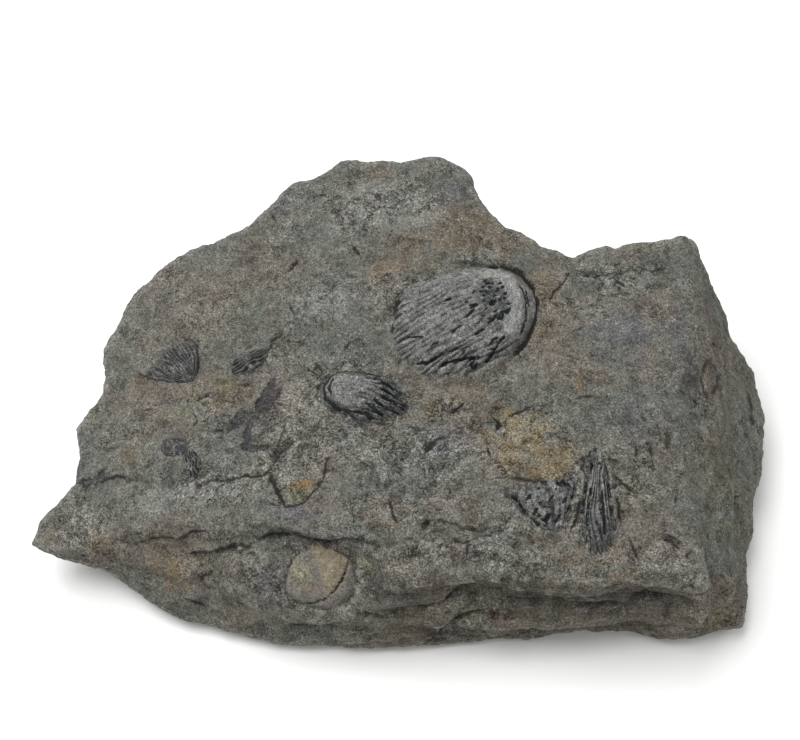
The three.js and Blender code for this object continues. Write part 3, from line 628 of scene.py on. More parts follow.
# The stone.
# A hand-size chunk of grey limy mudstone, broken out of its bed. Its rough upper face follows the
# bedding in low steps, its front flank shows the beds edge on, and it stands on a broad flat foot.


def numbers_of(mesh, what):
    """A row of three numbers for each point of the mesh."""
    flat = np.empty(len(mesh.vertices) * 3, np.float32)
    mesh.vertices.foreach_get(what, flat)
    return flat.reshape(-1, 3).astype(float)


def mesh_in_mm(mesh):
    return numbers_of(mesh, "co") / MM


def outward_of(mesh):
    return numbers_of(mesh, "normal")


def move_to(mesh, points):
    mesh.vertices.foreach_set("co", (points * MM).astype(np.float32).ravel())
    mesh.update()


def work_into(piece):
    """Gives the piece the mesh that its modifiers make, and takes them off."""
    bpy.context.view_layer.update()
    made = bpy.data.meshes.new_from_object(piece.evaluated_get(bpy.context.evaluated_depsgraph_get()))
    piece.modifiers.clear()
    piece.vertex_groups.clear()
    piece.data = made
    return made


# The seats are filled first: each fossil's own solid, a little larger and a little lower, closes its
# pocket, so that the mud meets the fossil.
FILL_GROW = 0.5
FILL_DROP = 0.75
stone_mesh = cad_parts["stone_block"].data.copy()
stone = bpy.data.objects.new("fossil_bearing_stone", stone_mesh)
bpy.context.scene.collection.objects.link(stone)
sources = [(stone_mesh, mesh_in_mm(stone_mesh))]
for node_name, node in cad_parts.items():
    if node_name != "stone_block":
        fossil = node.data.copy()
        grown = mesh_in_mm(fossil) + outward_of(fossil) * FILL_GROW
        sources.append((fossil, grown - [0, 0, FILL_DROP]))
triangles = []
count = 0
for source, source_points in sources:
    source.calc_loop_triangles()
    for triangle in source.loop_triangles:
        triangles.append(tuple(count + index for index in triangle.vertices))
    count += len(source_points)
filled = bpy.data.meshes.new("filled_stone")
filled.from_pydata((np.vstack([source_points for _, source_points in sources]) * MM).tolist(), [], triangles)
stone.data = filled

VOXEL = 0.5
SOFTEN_ROUNDS = 14
skin = stone.modifiers.new("skin", "REMESH")
skin.mode = "VOXEL"
skin.voxel_size = VOXEL * MM
soften = stone.modifiers.new("soften", "SMOOTH")
soften.factor = 0.5
soften.iterations = SOFTEN_ROUNDS
worked = work_into(stone)

# Marks on the upper face, seen from above: width, depth and darkness, then the dots and lines, all in
# mm. They are thin dark scraps of shell seen edge on, short cracks, and gaps along the fossils' rims; the
# darkness in the cracks and gaps is painted shade.
UPPER_STROKES = [
    (0.42, 0.6, 0.9, [[(-27.7, -25.8), (-26.8, -28.7), (-25.6, -31.4), (-24.5, -33.8)]]),
    (0.22, 0.2, 0.9, [[(-27.2, -33.1), (-25.1, -33.6)], [(-20.7, -2.4), (-17.9, -4.2)]]),
    (0.24, 0.25, 0.9, [[(-24.5, -33.8), (-22.2, -34.0), (-20.7, -33.5), (-19.4, -32.2), (-17.8, -30.2),
        (-16.6, -28.3), (-16.1, -24.6)]]),
    (1.05, 0.3, 0.55, [[(-37.0, -13.4), (-36.1, -11.6), (-34.2, -10.2), (-32.6, -9.6)]]),
    (1.0, 0.25, 0.6, [[(-31.2, -9.5), (-30.2, -7.1), (-29.0, -4.9), (-27.8, -2.5)]]),
    (0.9, 0.25, 0.6, [[(-30.1, -10.3), (-28.5, -8.0), (-26.6, -5.4)]]),
    (0.8, 0.25, 0.6, [[(-33.2, -16.8), (-32.9, -14.4), (-32.2, -11.9), (-30.1, -9.7)]]),
    (0.75, 0.25, 0.6, [[(-32.8, -16.9), (-33.4, -18.7), (-31.0, -19.6), (-28.5, -19.2)]]),
    (0.2, 0.25, 0.9, [[(-30.5, 3.2), (-29.3, 3.9), (-28.6, 4.9), (-29.1, 5.8)], [(-3.2, -33.8), (-2.3, -36.9),
        (-1.7, -38.4)], [(52.2, -40.5), (55.6, -42.3)], [(51.8, -41.6), (55.2, -43.4)]]),
    (0.2, 0.2, 0.8, [[(-31.7, 1.5), (-30.1, 2.8)]]),
    (0.25, 0.25, 0.8, [[(-56.8, 0.7), (-54.4, -0.4), (-52.4, -1.3)]]),
    (0.25, 0.25, 0.65, [[(-25.0, -14.7), (-26.3, -18.9), (-27.1, -22.7)]]),
    (0.45, 0.25, 0.6, [[(-25.9, -15.2), (-24.8, -16.7)]]),
    (0.2, 0.2, 0.7, [[(-22.6, -19.0), (-25.7, -21.3), (-27.5, -24.0)]]),
    (0.24, 0.3, 0.9, [[(-40.1, -13.6), (-38.9, -13.6), (-37.1, -13.4)], [(-37.0, -26.2), (-33.5, -25.8),
        (-30.9, -26.0), (-28.4, -25.5), (-27.9, -24.3)]]),
    (0.4, 0.4, 0.8, [[(-41.9, -25.9), (-38.5, -25.9)]]),
    (0.25, 0.3, 0.9, [[(-67.3, -21.5), (-63.9, -21.7), (-61.5, -21.6), (-58.8, -21.8)], [(60.4, -9.6),
        (61.9, -9.4)]]),
    (0.8, 0.4, 0.55, [[(-68.7, -20.9), (-66.6, -21.0), (-64.8, -20.6), (-63.1, -19.5)]]),
    (0.3, 0.2, 0.8, [[(-44.7, -9.1), (-43.8, -10.7), (-44.8, -12.0)], (19.9, -9.3), (11.7, -16.7),
        [(47.5, -22.1), (47.3, -24.3)], (56.0, -28.0), (56.3, 21.0), (33.0, 6.7), [(35.7, 4.8), (37.5, 5.5)],
        (34.9, -1.0), (47.8, -6.2), (-5.9, 30.0), (-14.7, 39.6), (9.6, 40.3)]),
    (0.25, 0.2, 0.9, [[(-44.1, -5.7), (-41.8, -4.5)], [(-54.5, 0.8), (-52.6, -0.9)], [(18.6, -12.1),
        (19.9, -12.1)], [(9.1, -31.0), (9.4, -31.8)], [(20.4, -26.4), (20.7, -27.3)], [(49.7, -21.4),
        (50.3, -21.1)], [(55.1, -32.5), (55.0, -33.9)]]),
    (0.35, 0.2, 0.8, [(-41.8, -8.3), (17.7, -15.3), (7.9, -15.9)]),
    (0.45, 0.2, 0.8, [(-54.3, -7.8)]),
    (0.5, 0.2, 0.65, [[(-53.9, -20.4), (-52.7, -19.4)]]),
    (0.3, 0.3, 0.8, [[(-26.5, 7.1), (-28.9, 5.8)], [(9.9, -41.1), (11.9, -42.0), (13.5, -41.4)],
        [(-29.3, 36.1), (-28.5, 34.4)]]),
    (0.55, 0.4, 0.85, [[(4.2, -22.8), (5.3, -21.2), (6.6, -19.2), (8.3, -18.6)]]),
    (0.26, 0.3, 1.0, [[(9.6, -13.4), (10.9, -12.5), (12.4, -11.3)]]),
    (0.34, 0.3, 1.0, [[(21.7, -14.1), (23.7, -13.2), (25.9, -12.0)]]),
    (0.5, 0.3, 1.0, [[(18.8, -14.4), (19.8, -15.4), (19.1, -17.2)]]),
    (0.2, 0.2, 0.9, [[(17.0, -21.5), (17.7, -23.5)], [(12.5, -42.7), (12.5, -44.3)], [(45.1, -41.9),
        (46.6, -45.5)], [(39.2, 19.9), (40.5, 20.7)], [(45.8, 18.3), (47.3, 16.5)]]),
    (0.25, 0.5, 0.75, [[(4.0, -38.0), (5.2, -37.4), (7.1, -37.3), (9.9, -38.1), (11.6, -39.0),
        (14.4, -39.0)]]),
    (0.24, 0.4, 0.6, [[(3.4, -41.4), (4.8, -40.0), (8.2, -39.3)]]),
    (0.4, 0.25, 0.8, [[(50.6, -22.0), (50.7, -24.2)], [(35.7, -10.8), (37.4, -10.2), (39.3, -10.7)]]),
    (0.5, 0.3, 0.65, [[(54.4, -18.1), (54.1, -21.6)], [(12.6, 21.9), (16.3, 21.4)]]),
    (0.28, 0.35, 0.9, [[(43.0, -28.7), (44.7, -30.3), (46.2, -31.8)]]),
    (0.22, 0.35, 0.9, [[(35.1, -25.3), (36.4, -24.5), (36.9, -26.4), (35.9, -26.8), (36.6, -28.4)],
        [(40.7, -25.6), (42.5, -24.9), (43.7, -25.5)]]),
    (0.32, 0.5, 0.95, [[(37.4, -25.4), (38.0, -23.3), (39.3, -22.6), (40.2, -24.3), (40.7, -25.8)],
        [(33.6, -39.5), (34.6, -38.0), (35.2, -35.6), (35.4, -33.8)], [(25.3, -37.6), (26.9, -38.9),
        (28.7, -39.5), (30.5, -39.0)]]),
    (0.45, 0.5, 0.9, [[(41.9, -31.8), (43.3, -30.7)]]),
    (0.25, 0.4, 0.9, [[(43.1, -33.3), (43.4, -35.4), (43.6, -37.9)], [(31.8, -37.6), (32.9, -36.1),
        (33.8, -35.1)]]),
    (0.16, 0.2, 0.9, [[(43.2, -35.8), (44.6, -35.8)]]),
    (0.2, 0.2, 0.85, [[(18.7, -28.2), (20.5, -28.0), (24.6, -28.5), (29.1, -29.2), (31.7, -29.5),
        (33.3, -31.0)]]),
    (0.35, 0.4, 0.9, [[(30.1, -30.6), (31.3, -30.0), (32.7, -30.4)]]),
    (0.75, 0.4, 0.6, [[(20.6, -30.6), (21.8, -33.1), (23.3, -35.1), (24.9, -37.1)]]),
    (0.28, 0.3, 0.65, [[(64.7, 0.7), (63.3, -1.9), (62.9, -4.0), (63.3, -5.8), (64.3, -6.6)]]),
    (0.3, 0.3, 0.65, [[(64.9, 0.9), (66.6, 2.0), (67.4, 1.1), (67.0, -1.4), (65.4, -5.1)]]),
    (0.3, 0.3, 0.9, [(64.4, -7.9), (58.2, -8.9)]),
    (0.25, 0.2, 0.7, [[(66.3, 7.8), (67.4, 8.1)]]),
    (0.22, 0.25, 0.8, [[(54.4, 20.7), (56.8, 21.0)]]),
    (0.4, 0.25, 0.7, [[(76.3, 6.1), (76.7, 3.0), (76.5, -1.4)]]),
    (0.22, 0.25, 0.9, [[(30.9, 12.9), (33.3, 16.5), (35.0, 19.1), (35.4, 20.5)], [(40.8, 19.9), (45.2, 20.4),
        (47.1, 19.9)]]),
    (0.28, 0.3, 0.9, [[(-11.3, 26.9), (-9.8, 24.2)], [(-25.2, 22.1), (-23.3, 24.4)]]),
    (0.6, 0.3, 0.65, [[(-12.2, 19.7), (-10.5, 18.7)]]),
    (0.25, 0.25, 0.9, [[(-24.9, 13.3), (-23.8, 11.0)]]),
    (0.4, 0.3, 0.8, [[(-18.8, -1.1), (-17.5, -3.0)]]),
    (0.5, 1.0, 0.95, [[(20.6, 21.2), (23.2, 20.4), (25.4, 19.0), (27.4, 15.9), (28.2, 12.0), (27.8, 8.2),
        (26.6, 4.8), (25.0, 2.1), (23.2, 0.0)]]),
    (0.28, 0.4, 0.8, [[(-17.6, -10.6), (-18.6, -8.8), (-18.2, -6.6), (-16.4, -4.6), (-12.6, -3.6),
        (-9.0, -4.0), (-5.2, -5.4), (-2.0, -6.6)]]),
    (0.26, 0.3, 0.7, [[(-17.0, -11.0), (-15.0, -12.9), (-12.0, -14.6), (-8.0, -15.9), (-4.0, -16.2)]]),
    (0.9, 0.2, 0.5, [[(-11.5, -15.6), (-8.0, -16.4)]]),
    (0.3, 0.5, 0.8, [[(4.5, 17.0), (9.5, 16.6), (11.8, 16.6), (15.7, 18.0), (18.5, 20.4), (20.4, 21.2)]]),
    (0.4, 0.5, 0.8, [[(-0.4, 13.0), (-2.0, 11.4), (-1.8, 9.2), (-1.0, 7.6), (-2.4, 6.9), (-2.6, 5.6),
        (-1.4, 4.9), (-1.8, 3.2)]]),
]
# Marks on the front flank, as width and height: the open edges of the beds and the hollows there, darkened as
# painted shade.
FLANK_STROKES = [
    (0.35, 0.6, 0.8, [[(-11.2, 14.7), (-7.7, 16.2), (-3.9, 14.8), (-1.8, 15.5), (1.7, 16.1), (5.8, 16.3),
        (8.2, 16.8), (10.7, 19.0), (13.3, 23.0), (15.5, 25.2)]]),
    (0.5, 0.8, 0.65, [[(7.4, 6.5), (8.9, 11.2), (10.7, 13.3), (13.2, 14.5), (15.8, 15.5)]]),
    (0.4, 0.4, 0.8, [(22.7, 17.8)]),
    (0.55, 0.6, 0.55, [[(36.0, 17.0), (41.1, 17.2), (45.4, 16.6)]]),
    (0.5, 0.6, 0.5, [[(46.5, 18.4), (52.0, 18.8), (56.9, 20.9)]]),
    (0.3, 0.4, 0.8, [[(-53.5, 18.7), (-50.9, 19.7), (-47.6, 20.2), (-45.2, 21.9), (-40.7, 24.3)]]),
    (0.55, 0.8, 0.65, [[(-44.4, 17.9), (-38.5, 20.8), (-35.0, 22.7), (-30.5, 24.1)]]),
    (0.35, 0.4, 0.8, [[(-42.6, 14.1), (-39.9, 16.3)]]),
    (0.45, 0.4, 0.8, [[(-45.9, 8.6), (-42.3, 7.5)]]),
    (0.5, 0.5, 0.65, [[(-30.4, 25.4), (-25.7, 25.6), (-22.1, 27.4), (-17.9, 25.9), (-14.4, 26.2),
        (-12.1, 28.6), (-6.9, 29.2), (-4.8, 28.8)]]),
]
# Low steps where a layer has broken away: how far the surface drops on the right hand of the line, how
# far on it comes back, and the line, seen from above or from the front.
UPPER_LEDGES = [
    (0.8, 3.5, [(2.4, -39.6), (4.8, -37.5), (7.1, -37.3), (9.9, -38.1), (11.6, -39.0), (14.4, -39.0),
        (16.5, -37.6)]),
    (0.7, 4.0, [(-69.5, -21.6), (-63.9, -21.7), (-58.8, -21.8), (-52, -23.4), (-46, -25.2), (-41.9, -25.9),
        (-38.5, -25.9), (-33.5, -25.8), (-28.4, -25.2)]),
    (0.6, 3.0, [(-40.1, -13.6), (-37.1, -13.4), (-36.1, -11.6), (-34.2, -9.8), (-32.2, -9.0), (-31.0, -5.4),
        (-29.2, -1.8)]),
    (0.5, 3.0, [(21.3, -28.9), (24.6, -28.3), (28.7, -28.4)]),
    (0.6, 3.0, [(-3, 14.5), (2, 17.0), (9.5, 17.4), (15.7, 18.8), (20.4, 21.8)]),
    (0.5, 4.0, [(-12, 26), (-4, 29), (4, 27), (12, 30), (20, 26)]),
    (0.5, 3.0, [(-34, 8), (-28, 13), (-24, 19), (-16, 22)]),
    (0.4, 3.0, [(34, -8), (40, -4), (44, 2), (52, 4)]),
    (0.4, 3.0, [(-16, -24), (-10, -22), (-3, -25), (4, -23)]),
]
FLANK_LEDGES = [
    (1.3, 4.5, [(-14, 12.5), (-11.2, 14.7), (-7.7, 16.2), (-3.9, 14.8), (-1.8, 15.5), (1.7, 16.1),
        (5.8, 16.3), (8.2, 16.8), (10.7, 19.0), (13.3, 23.0), (15.5, 25.2), (22, 25.6)]),
    (1.2, 3.5, [(3.5, 4.0), (7.4, 6.5), (8.9, 11.2), (10.7, 13.3), (13.2, 14.5), (15.8, 15.8), (22, 15.0)]),
    (0.8, 3.5, [(30, 19.5), (36.0, 18.0), (41.1, 18.2), (45.4, 18.6), (52.0, 20.4), (58, 21.8)]),
    (1.0, 3.5, [(-57, 17.2), (-50.9, 19.7), (-47.6, 20.2), (-45.2, 21.6), (-40.7, 23.6), (-36, 24.6)]),
    (1.2, 4.0, [(-46, 16.8), (-44.4, 17.9), (-38.5, 20.8), (-35.0, 22.7), (-30.5, 24.1)]),
    (0.5, 3.0, [(-48, 7.5), (-40.9, 10.0), (-33.1, 13.6), (-28, 12.0)]),
    (0.9, 3.0, [(-26, 7.5), (-16, 9.5), (-6, 8.0), (2, 9.0)]),
    (0.6, 3.0, [(20, 9.5), (30, 11.5), (40, 9.0), (52, 10.5)]),
]
# The rumpled grey lobe that the mud cast lies in, as places in width and height with their size.
CAST_LOBE = [(-29.5, 21.5, 3.0), (-27.0, 17.5, 3.2), (-22.5, 14.0, 3.2), (-29.0, 24.5, 2.2),
    (-17.5, 13.2, 3.0), (-12.0, 15.0, 2.4)]
# What lies in front of this belongs to the front flank.
FLANK_FROM = -25


def on_upper_face(points, facing):
    """1 where the surface looks up, and 0 on the back wall below the upper face's edge."""
    return rise(facing[:, 2], 0.1, 0.35) * ((points[:, 1] < 24) | (points[:, 2] > 31))


def strokes_near(points, facing):
    """The marks of the upper face and those of the front flank, each counted only where it belongs."""
    upper = strokes_on(points[:, :2], UPPER_STROKES)
    upper["near"] *= on_upper_face(points, facing)
    flank = strokes_on(points[:, [0, 2]], FLANK_STROKES)
    flank["near"] *= rise(-facing[:, 1], 0.2, 0.5) * (points[:, 1] < FLANK_FROM)
    return upper, flank


def ledges_on(places, ledges):
    """How far the surface drops below each broken layer's edge, in mm."""
    drop = np.zeros(len(places))
    for depth, reach, line in ledges:
        edge = strokes_on(places, [(1.2, 1.0, 1.0, [line])])
        side = edge["side"]
        below = rise(-side, -0.15, 0.45) * np.exp(-np.clip(-side, 0, None) / reach)
        drop = np.maximum(drop, depth * below * np.clip(edge["wide"] / 1.2, 0, 1) * (np.abs(side) < 14))
    return drop


def near_fossils(points):
    """1 where a fossil lies in the stone, falling to 0 a little way outside it."""
    near = np.zeros(len(points))
    for fossil in fossils:
        middle, out, along = (np.array(part, float) for part in fossil["seat"])
        away = points - middle
        ahead = away @ along / (fossil["reach"][0] + 0.8)
        aside = away @ np.cross(out, along) / (fossil["reach"][1] + 0.8)
        near = np.maximum(near, (1 - rise(np.hypot(ahead, aside), 0.95, 1.3)) * (np.abs(away @ out) < 9))
    return near


LOOK_FROM = 10


def meet_fossils(points, facing):
    """Lowers the mud where a fossil rises out of it, so that the fossil shows. The fossil is looked for
    from 10 mm outside the mud. The mud keeps an uneven hold on the rim."""
    hold = 0.35 * lumps(points, 2.4, 70)
    for fossil in fossils:
        low, high = fossil["points"].min(0) - 0.5, fossil["points"].max(0) + 0.5
        middle, out = np.array(fossil["seat"][0]), np.array(fossil["seat"][1])
        tree = BVHTree.FromPolygons(fossil["points"].tolist(), fossil["faces"])
        inside = np.all((points > low - [0, 0, 3]) & (points < high + [0, 0, 3]), axis=1)
        way = Vector(-out)
        for index in np.flatnonzero(inside & (facing @ out > 0.1)):
            start = Vector(points[index]) - way * LOOK_FROM
            hit, _, _, far = tree.ray_cast(start, way, LOOK_FROM + 15.0)
            if hit is not None and far > 4 and (np.array(hit) - middle) @ out > fossil["held"] + hold[index]:
                points[index] += np.array(way) * max(0.0, fossil.get("gap", 0.35) - (LOOK_FROM - far))
    return points


def broken_face(points, facing):
    """How far the broken surface stands out or in from the smooth stone, in mm."""
    level = np.abs(facing[:, 2])
    beds = 1 - rise(level, 0.3, 0.75)
    coarse = 0.55 * lumps(points, 9.0, 1) + 0.42 * lumps(points, 4.6, 2)
    fine = (0.24 * lumps(points, 2.3, 3) + 0.17 * lumps(points, 1.3, 4)) * (1 - 0.45 * beds)
    wavy = lumps(points * [1, 1, 0.6], 7.0, 5) * 1.2 + 0.5 * lumps(points, 2.6, 6)
    steps = (np.floor(wavy * 2.6) + rise(wavy * 2.6 % 1, 0.0, 0.2)) / 2.6 - wavy
    small = lumps(points * [1, 1, 0.6], 3.0, 11) * 1.2 + 0.4 * lumps(points, 1.4, 12)
    small_steps = (np.floor(small * 2.2) + rise(small * 2.2 % 1, 0.0, 0.3)) / 2.2 - small
    bed_height = points[:, [2]] + 1.6 * lumps(points * [1, 1, 0.3], 16.0, 13)[:, None]
    flat_lying = np.hstack([points[:, :2] * 0.07, bed_height])
    bedding = 0.6 * lumps(flat_lying, 3.6, 7) + 0.42 * lumps(flat_lying * [2, 2, 1], 1.7, 8)
    bedding += 0.26 * lumps(flat_lying * [3, 3, 1], 0.9, 14)
    chips = 0.5 * pitting(points, 4.6, 1.5, 0.3, 9) + 0.36 * pitting(points, 2.3, 0.75, 0.35, 10)
    return coarse + fine + 0.42 * steps + 0.3 * small_steps + bedding * beds - chips * (1 - 0.5 * beds)


# The broken layers and the lobe, then the roughness of the break, then the marks cut into it.
points = mesh_in_mm(worked)
facing = outward_of(worked)
resting = rise(points[:, 2], 0.3, 2.5)
on_top = rise(facing[:, 2], 0.35, 0.65)
on_flank = rise(-facing[:, 1], 0.15, 0.45) * (points[:, 1] < FLANK_FROM) * (1 - on_top)
points[:, 2] -= ledges_on(points[:, :2], UPPER_LEDGES) * on_top
points[:, 1] += ledges_on(points[:, [0, 2]], FLANK_LEDGES) * on_flank
for x, z, size in CAST_LOBE:
    reach = np.hypot(points[:, 0] - x, points[:, 2] - z) / size
    points = points + facing * (0.9 * np.exp(-(reach**4)) * (points[:, 1] < -36) * resting)[:, None]
move_to(worked, points)
facing = outward_of(worked)
stands_out = broken_face(points, facing) * (0.25 + 0.75 * resting)
points = points + facing * (stands_out * (1 - 0.8 * near_fossils(points)))[:, None]
move_to(worked, points)
facing = outward_of(worked)
wobble = 0.25 * lumps(points, 1.4, 15)
cut = np.zeros(len(points))
for mark in strokes_near(points, facing):
    inside = 1 - rise(np.abs(mark["side"] + wobble), 0.3 * mark["wide"], 1.3 * mark["wide"] + 0.15)
    cut = np.maximum(cut, mark["near"] * mark["deep"] * inside)
points = points - facing * cut[:, None]
points = meet_fossils(points, facing)
points[:, 2] = np.maximum(points[:, 2], 0)
move_to(worked, points)

# The unseen foot and back need fewer faces than the face with the fossils.
MOST_TRIANGLES = 190000
spare = stone.vertex_groups.new(name="spare")
facing = outward_of(worked)
keep = np.clip(0.5 * rise(facing[:, 2], -0.2, 0.3) + 0.5 * rise(-facing[:, 1], -0.3, 0.3), 0, 1)
for level in range(11):
    chosen = np.flatnonzero(np.round((1 - keep) * 10).astype(int) == level)
    if level and len(chosen):
        spare.add([int(index) for index in chosen], level / 10, "REPLACE")
thin = stone.modifiers.new("thin", "DECIMATE")
thin.ratio = min(1.0, MOST_TRIANGLES / (2 * len(worked.polygons)))
thin.vertex_group = "spare"
thin.vertex_group_factor = 3.0
lighter = work_into(stone)


def middles_round(mesh, points):
    """The middle of each point's neighbours."""
    ends = np.empty(len(mesh.edges) * 2, np.int32)
    mesh.edges.foreach_get("vertices", ends)
    first, second = ends.reshape(-1, 2).T
    count = np.bincount(first, minlength=len(points)) + np.bincount(second, minlength=len(points))
    total = np.zeros_like(points)
    for axis in range(3):
        onward = np.bincount(first, points[second, axis], len(points))
        total[:, axis] = onward + np.bincount(second, points[first, axis], len(points))
    return total / np.maximum(count, 1)[:, None]


# Thinning folds a few faces over their neighbours, so the points of those are evened out. A face is
# folded where its own way out and that of the faces round it hardly agree.
UNFOLD_ROUNDS = 8
FOLDED_BELOW = 0.25
points = mesh_in_mm(lighter)
lighter.calc_loop_triangles()
corners = np.array([tuple(face.vertices) for face in lighter.loop_triangles])
for _ in range(UNFOLD_ROUNDS):
    first, second, third = (points[corners[:, corner]] for corner in range(3))
    own = np.cross(second - first, third - first)
    total = np.zeros_like(points)
    for corner in range(3):
        np.add.at(total, corners[:, corner], own)
    around = total[corners].sum(1)
    match = (own * around).sum(1) / (np.linalg.norm(own, axis=1) * np.linalg.norm(around, axis=1) + 1e-12)
    folded = np.unique(corners[match < FOLDED_BELOW])
    points[folded] = middles_round(lighter, points)[folded]
points[:, 2] = np.maximum(points[:, 2], 0)
move_to(lighter, points)
facing = outward_of(lighter)

# Stains in the stone, each at its middle in mm with its reach across, away from the viewer and how
# strong it is. Some of the dark ones are painted shade.
STAINS = {
    "warm": [(13, 29, 44, 15, 7, 0.8), (-3, 20, 41, 9, 5, 0.5), (31, 13, 40, 7, 14, 0.5),
        (-38, 13, 35, 20, 12, 0.4), (-38, -5, 30, 7, 4, 0.9), (-46, -9, 28, 6, 6, 0.5),
        (-52, -2, 29, 5, 2, 0.5), (-58, -17, 26, 6, 4, 0.6), (-4, -35, 31, 5, 4, 0.6),
        (9, -12, 35, 14, 8, 0.6), (41, -46, 28, 9, 5, 0.7), (41, -7, 37, 6, 3, 0.6), (55, 7, 39, 6, 14, 0.35),
        (-7, 45, 45, 5, 2, 0.7), (-75, -31, 14, 4, 4, 0.7), (-50, -38, 15, 12, 8, 0.7),
        (66, -5, 28, 6, 16, 0.5), (30, -50, 12, 20, 6, 0.5), (62, -48, 16, 8, 8, 0.45),
        (-22, -31, 31, 5, 3, 0.5), (-64, -33, 15, 5, 4, 0.7), (31, -42, 29, 5, 4, 0.5),
        (12, 28, 44, 5, 5, 1.4), (30, 9, 39, 2.4, 7, 1.2), (-4, -36.5, 31, 4, 2.5, 1.2),
        (66, -46, 9, 6, 6, 0.9), (-47, -39, 14, 6, 3, 0.5), (-56, -2, 28, 6, 10, 0.45),
        (17, -15, 34, 6, 6, 0.4)],
    "ochre": [(25, -21, 34, 9, 7, 1.0), (31, -26, 33, 4, 3, 0.8), (23, -14, 35, 5, 2.5, 0.7),
        (-65, -33, 16.5, 2.2, 1.5, 0.8)],
    "orange": [(-22, -29.2, 31, 2.6, 1.0, 1.5), (-21, -29.0, 31, 1.5, 0.6, 0.8), (-3, 20, 41, 6, 3, 0.35),
        (-48, -38.8, 13, 6, 3, 0.4), (37, -8, 37, 6, 5, 0.3)],
    "rust": [(18.1, -50.6, 14.7, 1.2, 1.2, 1.5), (21.2, -51, 13.3, 1.2, 1.2, 1.5),
        (53.4, -49.6, 12.8, 0.9, 0.9, 1.3), (72, -23.8, 13.6, 1.0, 1.0, 1.3),
        (71, -26.5, 14.2, 0.9, 0.9, 1.2)],
    "cool": [(-15, 12, 38, 12, 9, 0.5), (45, 4, 39, 9, 8, 0.6), (48, -15, 36, 7, 7, 0.5),
        (7, -20, 34, 4, 4, 0.7), (59, 5, 38, 4, 8, 0.5), (-27, 39, 42, 7, 5, 0.6), (14, 40, 45, 9, 7, 0.6),
        (48, 4, 39, 5, 4, 0.4)],
    "plum": [(-22, -35.5, 30, 6, 2.2, 0.9), (-27.5, -45, 20, 4.5, 4, 0.8), (-31, -9, 31, 1.8, 3.5, 0.8),
        (-27.5, -4, 32, 1.6, 3, 0.7), (-34, -12, 30, 2.4, 1.4, 1.0), (-32.8, -17, 30, 1.3, 3.4, 0.8),
        (59, -3, 35, 3, 6, 0.6), (-10, -16, 34, 2.6, 1.0, 1.0), (22.4, -33, 32, 1.3, 3.2, 1.0),
        (70, 8.2, 26, 1.2, 1.4, 0.8), (12, -18, 34, 5, 3, 0.5), (36, -36, 31, 1.2, 4, 0.8)],
    "mud": [(-22, -44.5, 19, 9, 6, 1.0), (-9.5, -45, 17, 3.5, 5, 0.8), (-17, -48, 13, 8, 3, 0.7)],
    "moss": [(-46, -8, 28, 4, 3, 0.7), (67, -46, 9, 4, 5, 0.8), (66, -24, 22, 6, 12, 0.7),
        (-22, -30.5, 31, 3.4, 2.4, 1.3), (47, -33, 32, 5, 5, 0.5), (-39, -3, 31, 6, 4, 0.5),
        (10, -50, 14, 9, 4, 0.5), (55, 28, 41, 5, 2.4, 0.9), (-45, -40, 19, 9, 2.5, 0.6),
        (-8, -44, 24, 4, 3, 0.6), (3, -10, 35, 5, 5, 0.4)],
    "rough": [(25, -21, 34, 8, 6, 0.45), (-66, -35, 17, 8, 4, 0.6), (14, -13, 34, 9, 7, 0.4),
        (-24, -18, 33, 8, 8, 1.0), (-36, -27, 28, 26, 4, 0.9), (10, -44, 28, 22, 4, 0.5),
        (4, -22, 34, 12, 8, 0.8), (-15, -9, 35, 12, 7, 0.8), (38, -33, 31, 14, 12, 0.5),
        (-12, -46, 20, 12, 6, 0.7), (6, 16, 40, 14, 5, 0.7), (-5, 38, 45, 16, 6, 0.5),
        (44, 19, 40, 8, 4, 0.6), (-70, -29, 17, 8, 4, 0.7), (54, -46, 28, 8, 3, 0.7)],
    "pale": [(-4, 36, 45, 9, 6, 0.85), (4, 33, 45, 7, 5, 0.45), (-7.5, 38.5, 44, 4, 4, 1.2),
        (-45.5, -8, 28.4, 4, 2.6, 1.3), (-53, -28, 24, 7, 3, 0.9), (-4, -36.5, 31, 3.5, 2, 0.9),
        (-17, 12.5, 38.4, 5, 5, 1.0), (-42, -30.5, 26, 8, 2, 0.6), (-14, 32, 42, 5, 3, 0.5),
        (-3, -20, 34.4, 5, 3, 0.5), (45, 5, 39, 6, 4, 0.35), (8, -46, 27, 5, 1.6, 0.5),
        (-21, -24, 32, 4.5, 2.4, 0.5), (-40, -28, 27, 22, 4, 0.6), (-18, 26, 41, 9, 1.6, 0.7),
        (35, -25, 35, 4, 5, 0.3), (10, -47.5, 27, 6, 1.2, 0.8), (54, -47, 28.6, 6, 1.2, 0.7)],
    # The broad dark spots low on the front flank are painted shade in its hollows and at its foot; the others
    # are dark patches of the stone.
    "dark": [(-38, -34, 27, 5, 2.4, 0.55), (-3, -49, 22.4, 7, 4, 1.0), (60, -5.5, 35.7, 2.6, 7, 0.75),
        (66, -20, 24, 4, 9, 0.4), (48, -16, 36, 6, 5, 0.35), (-34, 28, 39, 7, 6, 0.4),
        (-21.4, -39, 25.7, 7, 2, 1.1), (24, -49.5, 20, 14, 5, 0.5), (16, -14, 34, 8, 7, 0.27),
        (-21, -18, 33, 5, 6, 0.45), (45, -49.5, 18, 14, 5, 0.6), (10, -49.8, 8, 8, 5, 0.7),
        (-37, -44, 13, 8, 5, 0.4), (-51, -6, 29, 2, 1.4, 0.6), (-51, -11.5, 28, 2.2, 1.3, 0.6),
        (-40, -5.2, 31, 2, 1, 0.5), (-20, -16, 34, 2, 1.3, 0.6), (61.4, -9.3, 33.7, 1.6, 1.2, 0.6),
        (76.4, 2.1, 15, 1.6, 6, 0.5), (14, 21.6, 43, 4, 1.2, 0.6), (-32, -12, 31, 4, 4, 0.4),
        (-28, -16, 32, 3, 6, 0.35)],
}
readings = {}
